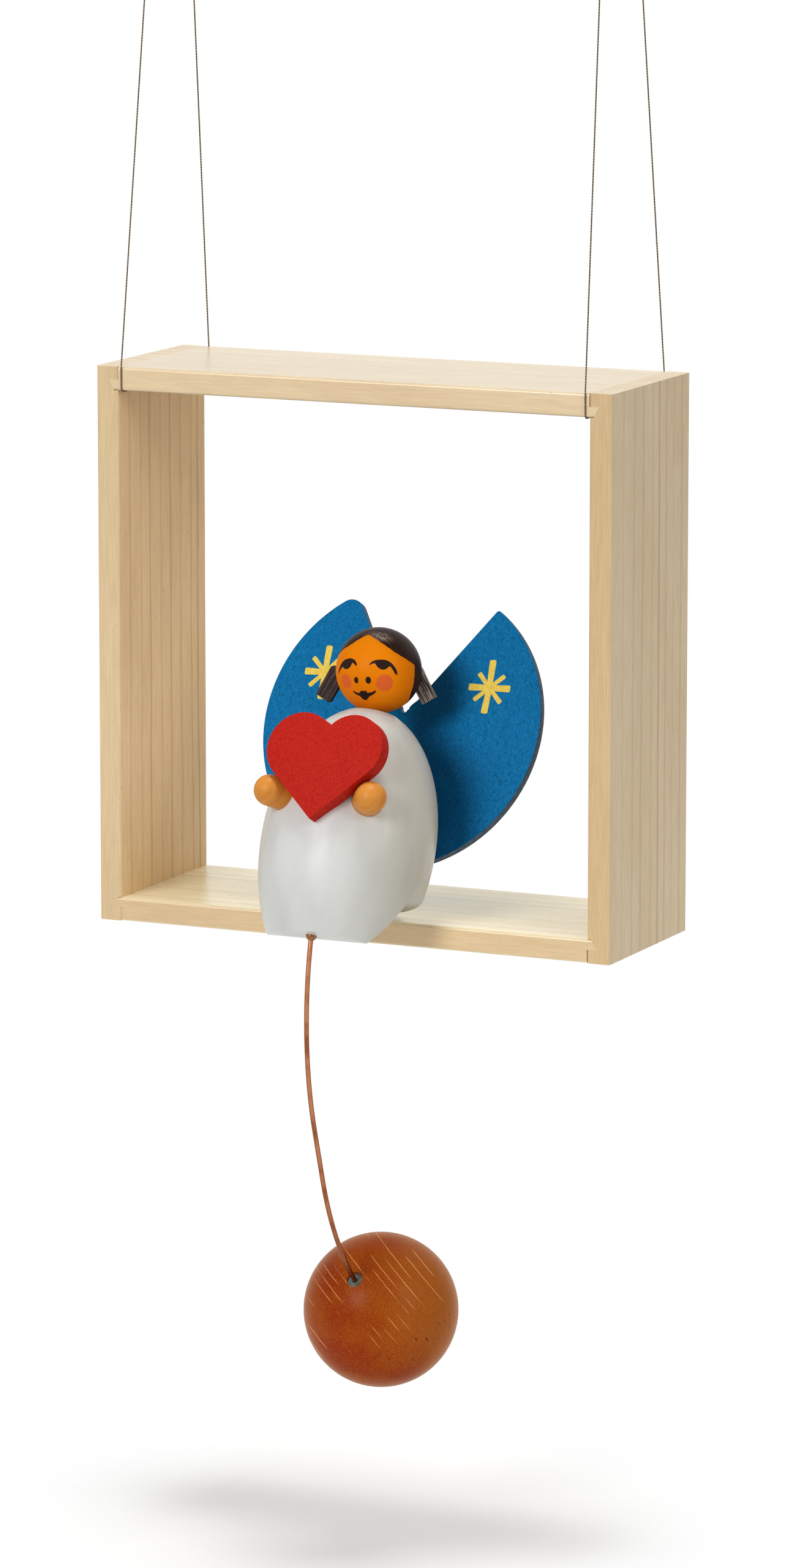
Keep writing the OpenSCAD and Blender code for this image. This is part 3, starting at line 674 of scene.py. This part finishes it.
print("Materials")
leftPine = makePine("pineLeft", boards["left"])
rightPine = makePine("pineRight", boards["right"])
topPine = makePine("pineTop", boards["top"], quarter, "level")
bottomPine = makePine("pineLow", boards["bottom"], quarter, "level")
rodPine = makePine("pineRod", boards["rod"], quarter)
skin = makeSkin()
hairDark = makeHairPaint()
chipPaints = {"left": makeChipPaint("leftChip", -1, chip["left"], 2.0),
              "right": makeChipPaint("rightChip", 1, chip["right"], 6.0)}
ink = makeInk()
yellow = makeThickPaint("yellowPaint", yellowPaint)
blue = makeThickPaint("bluePaint", bluePaint, paintedWingShade)
red = makeThickPaint("redPaint", redPaint)
white = makeWhitePaint()
blueRim = makePlain("blueRim", bluePaint["rim"], bluePaint["rimWorn"], 0.6, 1.2, sheen=0.1)
redRim = makePlain("redRim", redPaint["rim"], redPaint["rimWorn"], 0.5, 1.2, sheen=0.06)
copper = makeCopper()
threadFibre = makePlain("threadFibre", (0.13, 0.085, 0.045), (0.24, 0.17, 0.1), 0.8, 3.0)
pinSteel = makePlain("pinSteel", (0.55, 0.56, 0.58), (0.45, 0.46, 0.48), 0.25, 2.0, metallic=1.0)
amberGlue = makePlain("amberGlue", (0.42, 0.16, 0.03), (0.2, 0.06, 0.012), 0.15, 2.0)
greyGlue = makePlain("greyGlue", (0.07, 0.08, 0.065), (0.13, 0.14, 0.11), 0.14, 1.5)


# Pieces

def addPiece(name, data, body, replaced=None):
    made = bpy.data.objects.new(name, data)
    scene.collection.objects.link(made)
    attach(made, body)
    if replaced:
        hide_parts(replaced)
    return made


def newShape(name, values):  # a geometry tree with an input for each value
    kinds = {float: "Float", int: "Int", bpy.types.Material: "Material"}
    return newGroup(name, "Geometry", [("Geometry", "Geometry")] + [
        (key, kinds[type(value)], value) for key, value in values.items()],
        [("Geometry", "Geometry")])


def dressShape(tree, into, out, geometry):
    made = addShape(tree, "SetMaterial", {"Geometry": geometry, "Material": into["Material"]})
    tree.links.new(made, out[0])
    return tree


def plainMesh(name, source):  # the source with its bevel or modifier, as one plain mesh
    graph = bpy.context.evaluated_depsgraph_get()
    mesh = bpy.data.meshes.new_from_object(source.evaluated_get(graph), depsgraph=graph)
    bpy.data.objects.remove(source)
    mesh.name = name
    return mesh


def bakeTree(name, tree, values, source=None):
    source = source or bpy.data.objects.new(name, bpy.data.meshes.new(name + "Base"))
    scene.collection.objects.link(source)
    modifier = source.modifiers.new("shape", "NODES")
    modifier.node_group = tree
    for item in tree.interface.items_tree:
        if item.in_out == "INPUT" and item.name in values:
            modifier[item.identifier] = values[item.name]
    return plainMesh(name, source)


def curveObject(name, points):
    data = bpy.data.curves.new(name, "CURVE")
    data.dimensions = "3D"
    spline = data.splines.new("POLY")
    spline.points.add(len(points) - 1)
    for p, v in zip(spline.points, points):
        p.co = (*v, 1)
    return bpy.data.objects.new(name, data)


def closeMesh(mesh, data, sharp, *materials):
    # smooth faces, with sharp edges where they meet at more than so many degrees
    for f in mesh.faces:
        f.smooth = True
    mesh.to_mesh(data)
    mesh.free()
    if "custom_normal" in data.attributes:
        data.attributes.remove(data.attributes["custom_normal"])
    data.set_sharp_from_angle(angle=radians(sharp))
    data.materials.clear()
    for material in materials:
        data.materials.append(material)
    return data


def arc(y, z, r, start, end, steps):
    return [(y + r * cos(radians(a)), z + r * sin(radians(a)))
            for a in (start + (end - start) * i / steps for i in range(steps + 1))]


# Threads

thread = {
    "diameter": 0.35, "gap": 0.04, "turnLength": 1.1, "ringStep": 0.14, "sides": 10, "waist": 0.17,
    "edge": 0.6, "boardDepth": 38.4, "boardTop": 110.5, "boardThick": 4.7, "boardX": 49.45,
    "loopSpacing": 93.6, "overRod": 2.6, "knotY": -7.2, "knotDrop": 0.55, "knotSize": 0.135,
    "knotSteps": 78, "knotOpen": 6, "knotRoom": 0.02}
threadValues = {"Diameter": thread["diameter"] * mm, "Turn Length": thread["turnLength"] * mm,
                "Ring Step": thread["ringStep"] * mm, "Sides": thread["sides"],
                "Material": threadFibre}


def loopRoute(side):
    lay = thread["diameter"] / 2 + thread["gap"]
    corner, over = thread["edge"] + lay, thread["overRod"] + lay
    cornerY = thread["boardDepth"] / 2 - thread["edge"]
    top = thread["boardTop"] - thread["edge"]
    low = thread["boardTop"] - thread["boardThick"] + thread["edge"]
    under = thread["boardTop"] - thread["boardThick"] - lay
    ahead, drop = hanging["forward"], hanging["drop"]

    def lean(dy):
        dz = drop - top
        return degrees(atan2(dz, dy) + asin((over - corner) / hypot(dy, dz)))

    frontAngle, backAngle = 90 + lean(cornerY - ahead), 90 - lean(cornerY + ahead)
    flat = [(thread["knotY"] - thread["knotRoom"], under)]
    flat += arc(-cornerY, low, corner, 270, 180, 4)
    flat += arc(-cornerY, top, corner, 180, frontAngle, 2)
    flat += arc(-ahead, drop, over, frontAngle, backAngle, 10)
    flat += arc(cornerY, top, corner, backAngle, 0, 2)
    flat += arc(cornerY, low, corner, 0, -90, 4)
    flat += [(thread["knotY"] + thread["knotRoom"], under)]
    atBoard, atRod = side * thread["boardX"], hanging["rodShift"] + side * thread["loopSpacing"] / 2
    points = []
    for y, z in flat:
        share = min(1.0, max(0.0, (z - thread["boardTop"]) / (drop - thread["boardTop"])))
        points.append(place(atBoard + share * (atRod - atBoard), y, z))
    return points


def knotRoute(side):  # an open trefoil with two loose ends
    under = thread["boardTop"] - thread["boardThick"] - thread["gap"] - thread["knotDrop"]
    middle = place(side * thread["boardX"], thread["knotY"], under)
    points = []
    for i in range(thread["knotSteps"] - thread["knotOpen"]):
        t = 2 * pi * (i + thread["knotOpen"] / 2) / thread["knotSteps"]
        turned = Vector((sin(t) + 2 * sin(2 * t), cos(t) - 2 * cos(2 * t), -sin(3 * t)))
        points.append(middle + turned * thread["knotSize"] * mm)
    start = points[0] + Vector((-side * 0.5, -0.7, -0.8)) * mm
    end = points[-1] + Vector((-side * 0.7, 0.6, -0.7)) * mm
    return [start] + points + [end]


def smoothed(points):  # cuts the corners of an open route, and keeps its ends
    cut = [points[0]]
    for a, b in zip(points, points[1:]):
        cut += [a.lerp(b, 0.25), a.lerp(b, 0.75)]
    return cut + [points[-1]]


def makeThreadTree():
    # two plies round each other: a two-lobed outline that turns along the route
    tree, into, out = newShape("twistedThread", threadValues)
    even = addShape(tree, "ResampleCurve", {
        "Curve": into["Geometry"], "Length": into["Ring Step"]}, mode="LENGTH")
    along = addNode(tree, "GeometryNodeSplineParameter").outputs["Length"]
    tilt = times(maths("DIVIDE", along, into["Turn Length"]), 2 * pi)
    twisted = addShape(tree, "SetCurveTilt", {"Curve": even, "Tilt": tilt})
    ring = addShape(tree, "CurvePrimitiveCircle", {
        "Resolution": into["Sides"], "Radius": times(into["Diameter"], 0.5)})
    spot = addShape(tree, "InputPosition")
    parts = parted(spot)
    angle = maths("ARCTAN2", parts["Y"], parts["X"])
    swell = timesPlus(maths("COSINE", times(angle, 2.0)), thread["waist"], 1 - thread["waist"])
    profile = addShape(tree, "SetPosition", {
        "Geometry": ring, "Position": vectorMaths("SCALE", spot, scale=swell)})
    tube = addShape(tree, "CurveToMesh", {
        "Curve": twisted, "Profile Curve": profile, "Fill Caps": True})
    smooth = addShape(tree, "SetShadeSmooth", {"Geometry": tube})
    whole = addShape(tree, "RealizeInstances", {"Geometry": smooth})
    return dressShape(tree, into, out, whole)


print("Threads")
threadTree = makeThreadTree()
for side, label in ((-1, "left"), (1, "right")):
    path = smoothed(loopRoute(side))
    route = curveObject(label + "Route", path)
    data = bakeTree(label + "Thread", threadTree, threadValues, route)
    loop = addPiece(label + "Thread", data, "frame", label + "_thread_loop")
    route = curveObject(label + "KnotRoute", smoothed(knotRoute(side)))
    data = bakeTree(label + "Knot", threadTree, threadValues, route)
    knot = addPiece(label + "Knot", data, "frame", label + "_knot")

# Boards, rod and small parts keep their shape

print("Boards and rod")
ballLow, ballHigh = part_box("counterweight_ball")
for node, material in {
        "hanging_rod": rodPine, "left_side_board": leftPine, "right_side_board": rightPine,
        "top_board": topPine, "bottom_board": bottomPine, "turned_body": white,
        "balance_pin": pinSteel, "neck_dowel": rodPine, "head_ball": skin,
        "left_hand": makeHandWood("handWoodLeft", 2.5),
        "right_hand": makeHandWood("handWoodRight", 6.5, handWood["knot"]),
        "wire_glue_bead": amberGlue, "ball_glue_plug": greyGlue,
        "counterweight_ball": makeBallWood((ballLow + ballHigh) / 2)}.items():
    nodes[node].data.materials.clear()
    nodes[node].data.materials.append(material)


# Wings and heart: flat plates with softened edges

plate = {
    "weld": 0.002, "flatAngle": 0.5, "bevelAngle": 35, "segments": 3, "sharpAngle": 40,
    "rimSlope": 0.6, "wingEdge": 0.22, "heartEdge": 0.16}


def softPlate(node, name, material, rim, width):
    data = nodes[node].data.copy()
    data.name = name
    mesh = bmesh.new()
    mesh.from_mesh(data)
    bmesh.ops.remove_doubles(mesh, verts=mesh.verts, dist=plate["weld"] * mm)
    bmesh.ops.dissolve_limit(mesh, angle_limit=radians(plate["flatAngle"]),
                             verts=mesh.verts, edges=mesh.edges)
    bmesh.ops.recalc_face_normals(mesh, faces=mesh.faces)
    sharp = [e for e in mesh.edges if len(e.link_faces) == 2 and e.is_convex
             and e.calc_face_angle(0) > radians(plate["bevelAngle"])]
    bmesh.ops.bevel(mesh, geom=sharp, offset=width * mm, segments=plate["segments"],
                    profile=0.5, affect="EDGES", clamp_overlap=True)
    bmesh.ops.triangulate(mesh, faces=[f for f in mesh.faces if len(f.verts) > 4])
    closeMesh(mesh, data, plate["sharpAngle"], material, rim)
    across = (onFigure(0, 1, 0) - onFigure(0, 0, 0)).normalized()
    for f in data.polygons:
        f.material_index = int(abs(f.normal.dot(across)) < plate["rimSlope"])
    addPiece(name, data, "figure", node)


print("Wings and heart")
softPlate("wing_plate", "wings", blue, blueRim, plate["wingEdge"])
softPlate("heart_plate", "heart", red, redRim, plate["heartEdge"])


# Face: each flat outline, in degrees round the head, is filled with small triangles, laid on the
# head and given a thickness

eyeRight = [
    (11.2, 16.0), (13.6, 19.5), (18.0, 22.3), (24.2, 23.5), (32.0, 23.6), (37.7, 22.1),
    (42.6, 19.0), (46.8, 14.0), (49.5, 9.0), (50.8, 4.5), (49.7, 1.8), (47.0, 4.0), (44.8, 8.5),
    (42.0, 12.8), (40.6, 14.8), (38.0, 13.0), (34.4, 10.6), (30.0, 9.9), (25.7, 11.6), (22.3, 14.7),
    (20.8, 17.5), (19.3, 18.6), (16.7, 18.4), (13.7, 16.7)]
eyeLeft = [
    (-44.5, -1.4), (-42.5, 3.7), (-39.5, 9.8), (-36.3, 15.2), (-31.2, 19.6), (-23.8, 22.4),
    (-17.4, 23.1), (-11.3, 21.5), (-8.0, 18.4), (-6.1, 14.2), (-7.7, 13.7), (-10.4, 15.3),
    (-13.0, 17.2), (-14.9, 17.6), (-15.9, 14.8), (-17.2, 11.4), (-20.7, 8.5), (-25.5, 7.2),
    (-29.8, 8.4), (-32.2, 9.9), (-35.1, 8.1), (-38.8, 4.1), (-42.6, -0.6)]
nostrils = [(-6.6, -5.3, 3.2, 4.4), (10.9, -4.2, 3.7, 4.8)]  # middle and half sizes
mouth = [
    (-15.0, -20.5), (-12.0, -21.8), (-8.3, -23.8), (-3.8, -23.6), (-1.8, -20.8), (-0.3, -19.4),
    (2.5, -20.5), (5.8, -19.3), (7.1, -18.9), (7.5, -22.4), (11.6, -22.2), (16.3, -20.8),
    (20.2, -18.3), (21.3, -19.1), (20.1, -21.9), (16.0, -25.4), (10.8, -27.9), (8.6, -31.1),
    (5.4, -34.2), (2.3, -35.2), (-0.3, -34.2), (-3.1, -31.3), (-4.1, -28.5), (-9.4, -27.0),
    (-13.4, -24.6)]


def rounded(outline):
    for _ in range(2):
        cut = []
        for a, b in zip(outline, outline[1:] + outline[:1]):
            cut += [(a[0] * 0.75 + b[0] * 0.25, a[1] * 0.75 + b[1] * 0.25),
                    (a[0] * 0.25 + b[0] * 0.75, a[1] * 0.25 + b[1] * 0.75)]
        outline = cut
    return outline


def oval(x, y, wide, tall):
    return [(x + wide * cos(a), y + tall * sin(a)) for a in (tau * i / 16 for i in range(16))]


def inside(p, outline):
    hit = False
    for (ax, ay), (bx, by) in zip(outline, outline[1:] + outline[:1]):
        if (ay > p[1]) != (by > p[1]) and p[0] < (bx - ax) * (p[1] - ay) / (by - ay) + ax:
            hit = not hit
    return hit


def makeFeatures(outlines):
    mesh = bmesh.new()
    for outline in outlines:
        xs, ys = [p[0] for p in outline], [p[1] for p in outline]
        flat = [Vector(p) for p in outline]
        x = min(xs)
        while x < max(xs):
            y = min(ys)
            while y < max(ys):
                if inside((x, y), outline):
                    flat.append(Vector((x, y)))
                y += face["step"]
            x += face["step"]
        spots, _, tris, *_ = delaunay_2d_cdt(flat, [], [list(range(len(outline)))], 1, 1e-5)
        tops, lows = ([mesh.verts.new(onHead(p.x, p.y, lift)) for p in spots]
                      for lift in (face["lift"], -face["lift"]))
        edges = {}
        for t in tris:
            mesh.faces.new([tops[i] for i in t])
            mesh.faces.new([lows[i] for i in reversed(t)])
            edges.update(dict.fromkeys(zip(t, list(t[1:]) + [t[0]])))
        for a, b in edges:
            if (b, a) not in edges:
                mesh.faces.new([tops[b], tops[a], lows[a], lows[b]])
    bmesh.ops.recalc_face_normals(mesh, faces=mesh.faces)
    addPiece("facePaint", closeMesh(mesh, bpy.data.meshes.new("facePaint"), 50, ink), "figure")


print("Painted face")
makeFeatures([rounded(eyeRight), rounded(eyeLeft), *(oval(*n) for n in nostrils), rounded(mouth)])

# Hair: everything outside the hairline, given as degrees from the front by degrees round it

hairline = [
    (-180, 84.0), (-165, 83.0), (-149, 86), (-144, 90), (-130, 102), (-110, 115), (-90, 120),
    (-70, 115), (-50, 101), (-37, 88), (-27.2, 82.4), (-18.7, 81.8), (-6.9, 80.8), (3, 81.4),
    (11, 83.2), (12.8, 82.4), (20, 73.0), (29.6, 64.1), (40, 58.0), (53, 55.5), (67.3, 55.1),
    (82.2, 58.6), (92.5, 63.8), (94.3, 64.0), (105.6, 56.8), (118, 52.6), (128.8, 52.5),
    (143, 57.4), (155, 64.5), (163, 73.0), (169, 82.6), (171, 83.6), (177.4, 82.8), (180, 84.0)]


def hairEdge(turn):
    for (a, x), (b, y) in zip(hairline, hairline[1:]):
        if a <= turn <= b:
            return x + (y - x) * (turn - a) / (b - a)
    return hairline[0][1]


def makeHair():
    mesh = bmesh.new()

    def vertex(turn, away, lift):
        a, b = radians(turn), radians(away)
        out = Vector((sin(b) * cos(a), -cos(b), sin(b) * sin(a)))
        return mesh.verts.new(head + out * (headSizes["radius"] + lift) * mm)

    turns = sorted({-180 + 360 * i / hair["sectors"] for i in range(hair["sectors"])}
                   | {t for t, _ in hairline if t < 180})
    lift = hair["lift"]
    rings = [[vertex(t, hairEdge(t) + hair["tuck"], -lift) for t in turns]]
    for k in range(hair["rings"]):
        share = k / hair["rings"]
        rings.append([vertex(t, hairEdge(t) + (180 - hairEdge(t)) * share, lift) for t in turns])
    outerPole, innerPole = vertex(0, 180, lift), vertex(0, 180, -lift)
    pairs = [(i, (i + 1) % len(turns)) for i in range(len(turns))]
    for a, b in zip(rings, rings[1:]):
        for i, j in pairs:
            mesh.faces.new((a[i], a[j], b[j], b[i]))
    for i, j in pairs:
        mesh.faces.new((rings[-1][i], rings[-1][j], outerPole))
        mesh.faces.new((rings[0][j], rings[0][i], innerPole))
    bmesh.ops.recalc_face_normals(mesh, faces=mesh.faces)
    addPiece("hair", closeMesh(mesh, bpy.data.meshes.new("hair"), 60, hairDark), "figure")


print("Hair")
makeHair()


# Stars: eight strokes round a middle, the upright ones longest, the slanting ones shortest and
# thinnest. Each stroke lies a step above the last one.

def starValues(number):
    return {"Upright": star["upright"] * mm, "Level": star["level"] * mm,
            "Slanting": star["slanting"] * mm, "Wide": star["wide"] * mm,
            "Narrow": star["narrow"] * mm, "Thickness": 2 * star["lift"] * mm,
            "Step": star["step"] * mm, "Seed": star["seed"] + number, "Material": yellow}


def makeStarTree():
    tree, into, out = newShape("paintedStar", starValues(0))
    index = addShape(tree, "InputIndex")
    slant = maths("MODULO", index, 2.0)
    level = maths("COMPARE", maths("MODULO", index, 4.0), 0.0, 0.1)

    def switched(switch, off, on):
        return timesPlus(switch, minus(on, off), off)

    straight = switched(level, into["Upright"], into["Level"])
    chance = addNode(tree, "FunctionNodeRandomValue", {"Seed": into["Seed"], 2: -1.0, 3: 1.0},
                     data_type="FLOAT").outputs[1]
    length = times(switched(slant, straight, into["Slanting"]),
                   timesPlus(chance, star["looseLength"], 1.0))
    wide = switched(slant, into["Wide"], into["Narrow"])
    turn = timesPlus(index, pi / 4, times(chance, star["looseTurn"]))
    stroke = addShape(tree, "MeshCylinder", {"Vertices": 40, "Radius": 0.5, "Depth": 1.0})
    parts = parted(addShape(tree, "InputPosition"))

    # a bar with softly squared ends: the disc's rim is pushed out to the sides of its square
    def squared(value, power):
        size = maths("POWER", times(maths("ABSOLUTE", value), 2.0), power)
        return times(maths("SIGN", value), times(size, 0.5))

    along, aside = squared(parts["X"], star["squareEnd"]), squared(parts["Y"], star["squareSide"])
    width = times(aside, timesPlus(along, *star["taper"]))
    bar = combined(X=plus(along, 0.5), Y=width, Z=parts["Z"])
    shaped = addShape(tree, "SetPosition", {"Geometry": stroke, "Position": bar})
    middles = addShape(tree, "Points", {
        "Count": star["strokes"], "Position": combined(Z=times(index, into["Step"]))})
    copies = addShape(tree, "InstanceOnPoints", {
        "Points": middles, "Instance": shaped, "Rotation": combined(Z=turn),
        "Scale": combined(X=length, Y=wide, Z=into["Thickness"])})
    whole = addShape(tree, "RealizeInstances", {"Geometry": copies})
    return dressShape(tree, into, out, whole)


print("Stars")
starTree = makeStarTree()
upright = Matrix.Rotation(-radians(seat["lean"]), 4, "X") @ Matrix.Rotation(quarter, 4, "X")
for number, (x, s) in enumerate(star["middles"]):
    name = ("rightStar", "leftStar")[number]
    data = bakeTree(name, starTree, starValues(number))
    data.transform(Matrix.Translation(onFigure(x, star["wingFace"], s)) @ upright)
    addPiece(name, data, "figure")


# Pigtails: rough chips cut from a strip, a little smaller than their solids for the ridges

def chipValues(label):
    right = label == "right"
    return {"Width": (chip["widths"][right] - chip["spare"]) * mm,
            "Thickness": (chip["thick"] - chip["spare"]) * mm, "Length": chip["length"] * mm,
            "Groove": chip["groove"] * mm, "Seed": 4.0 if right else 2.0,
            "Material": chipPaints[label]}


def makeChipTree():
    tree, into, out = newShape("splitChip", chipValues("left"))
    size = combined(X=into["Width"], Y=into["Thickness"], Z=into["Length"])
    cuts = {"Vertices " + axis: count for axis, count in zip("XYZ", chip["cuts"])}
    block = addShape(tree, "MeshCube", {"Size": size, **cuts})
    spot = vectorMaths("MULTIPLY", addShape(tree, "InputPosition"), chip["ridges"])
    ridges = noiseAt(spot, 1, 2, 0.6, into["Seed"])
    depth = times(times(minus(ridges, chip["ridgeMiddle"]), into["Groove"]), chip["ridgeGain"])
    offset = vectorMaths("SCALE", addShape(tree, "InputNormal"), scale=depth)
    rough = addShape(tree, "SetPosition", {"Geometry": block, "Offset": offset})
    return dressShape(tree, into, out, rough)


print("Pigtails")
chipTree = makeChipTree()
for side, label in ((-1, "left"), (1, "right")):
    data = bakeTree(label + "Pigtail", chipTree, chipValues(label))
    low = head + Vector((*chip["places"][side > 0], -chip["drop"])) * mm
    data.transform(Matrix.Translation(low)
                   @ Matrix.Rotation(-side * radians(chip["splay"]), 4, "Y")
                   @ Matrix.Translation((0, 0, chip["length"] / 2 * mm)))
    addPiece(label + "Pigtail", data, "figure", label + "_pigtail")


# Wire: down from the body through two bends into the ball. Turn is in degrees from straight down.

def wireRoute():
    def ahead(y, z, turn, length):
        a = radians(turn)
        return y + length * sin(a), z - length * cos(a)

    def bend(y, z, radius, start, end, steps):
        a = radians(start)
        return arc(y + radius * cos(a), z + radius * sin(a), radius, 180 + start, 180 + end, steps)

    lean = radians(seat["lean"])
    out = (seat["y"] - wire["exitQ"] * cos(lean), seat["z"] + wire["exitQ"] * sin(lean))
    start = -wire["start"]
    middle = start + wire["upperBend"]
    end = middle + wire["lowerBend"]
    flat = [ahead(*out, start, -wire["depth"])]
    flat += bend(*out, wire["upperRadius"], start, middle, 40)
    flat += bend(*ahead(*flat[-1], middle, wire["straight"]), wire["lowerRadius"], middle, end, 32)
    flat.append(ahead(*flat[-1], end, wire["depth"]))
    return [place(seat["x"], y, z) for y, z in flat]


print("Wire")
bent = curveObject("wireRoute", wireRoute())
bent.data.bevel_depth = wire["diameter"] / 2 * mm
bent.data.bevel_resolution = 4
bent.data.use_fill_caps = True
scene.collection.objects.link(bent)
wireMesh = plainMesh("wire", bent)
wireMesh.materials.clear()
wireMesh.materials.append(copper)
for f in wireMesh.polygons:
    f.use_smooth = True
addPiece("wire", wireMesh, "figure", "copper_wire")

# Floor, background and lights. A lamp's place is in metres from the aim.

studio = {
    "floorAt": (-6, 0, -122.0), "floorRadius": 0.6, "floorSides": 64, "floor": 0.87,
    "fade": (0.17, 0.5), "seenFade": (0.022, 0.085), "world": 0.29, "aim": (0, -10, 30)}
lamps = {"keyLamp": {"at": (-0.5, -1.9, 0.9), "power": 23.2, "size": 0.9},
         "topLamp": {"at": (0.0, 0.0, 1.6), "power": 13.0, "size": 0.5},
         "fillLamp": {"at": (1.75, -0.6, 0.9), "power": 9.0, "size": 1.0},
         "backLamp": {"at": (0.2, 1.35, 1.2), "power": 11.0, "size": 1.4}}


def makeFloor():
    # a white disc that fades into the white background, and is clear from below
    low = place(*studio["floorAt"])
    count = studio["floorSides"]
    rim = [low + Vector((cos(t), sin(t), 0)) * studio["floorRadius"]
           for t in (tau * i / count for i in range(count))]
    data = bpy.data.meshes.new("floor")
    data.from_pydata(rim, [], [tuple(range(count))])
    made = bpy.data.objects.new("floor", data)
    scene.collection.objects.link(made)
    paint, tree = newMaterial("paleFloor", roughness=0.9, sheen=0.0)
    shader = tree.nodes["Principled BSDF"]
    shader.inputs["Base Color"].default_value = (*[studio["floor"]] * 3, 1)
    far = distanceTo(tree, low)
    # the camera sees only the floor's middle, while all of it throws light back on the toy
    seen = addNode(tree, "ShaderNodeLightPath").outputs["Is Camera Ray"]
    unseen = times(seen, fade(far, *studio["seenFade"]))
    gone = maths("MAXIMUM", unseen, fade(far, *studio["fade"]))
    facing = addNode(tree, "ShaderNodeNewGeometry").outputs["Backfacing"]
    clear = addNode(tree, "ShaderNodeBsdfTransparent")
    mixed = addNode(tree, "ShaderNodeMixShader", {0: maths("MAXIMUM", gone, facing),
                    1: shader.outputs[0], 2: clear.outputs[0]})
    tree.links.new(mixed.outputs[0], tree.nodes["Material Output"].inputs["Surface"])
    data.materials.append(paint)
    made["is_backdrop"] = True


def makeWorld():
    # the camera, a mirror or glass sees it white, while it lights the toy with less
    world = bpy.data.worlds.new("studio")
    scene.world = world
    world.use_nodes = True
    tree = world.node_tree
    back = tree.nodes["Background"]
    back.inputs["Color"].default_value = (1, 1, 1, 1)
    rays = addNode(tree, "ShaderNodeLightPath").outputs
    seen = maths("MAXIMUM", rays["Is Glossy Ray"], rays["Is Transmission Ray"])
    seen = maths("MAXIMUM", rays["Is Camera Ray"], seen)
    tree.links.new(fade(seen, 0.0, 1.0, studio["world"], 1.0, "LINEAR"), back.inputs["Strength"])


def makeLamp(name, lamp, aim):
    data = bpy.data.lights.new(name, "AREA")
    data.shape = "DISK"
    data.size = lamp["size"]
    data.energy = lamp["power"]
    made = bpy.data.objects.new(name, data)
    scene.collection.objects.link(made)
    made.location = at = aim + Vector(lamp["at"])
    made.rotation_mode = "QUATERNION"
    made.rotation_quaternion = (aim - at).to_track_quat("-Z", "Y")


print("Floor and lights")
makeFloor()
makeWorld()
for name, lamp in lamps.items():
    makeLamp(name, lamp, place(*studio["aim"]))
bpy.data.objects["backLamp"].visible_glossy = False
scene.view_settings.view_transform = "Standard"

low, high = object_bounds()
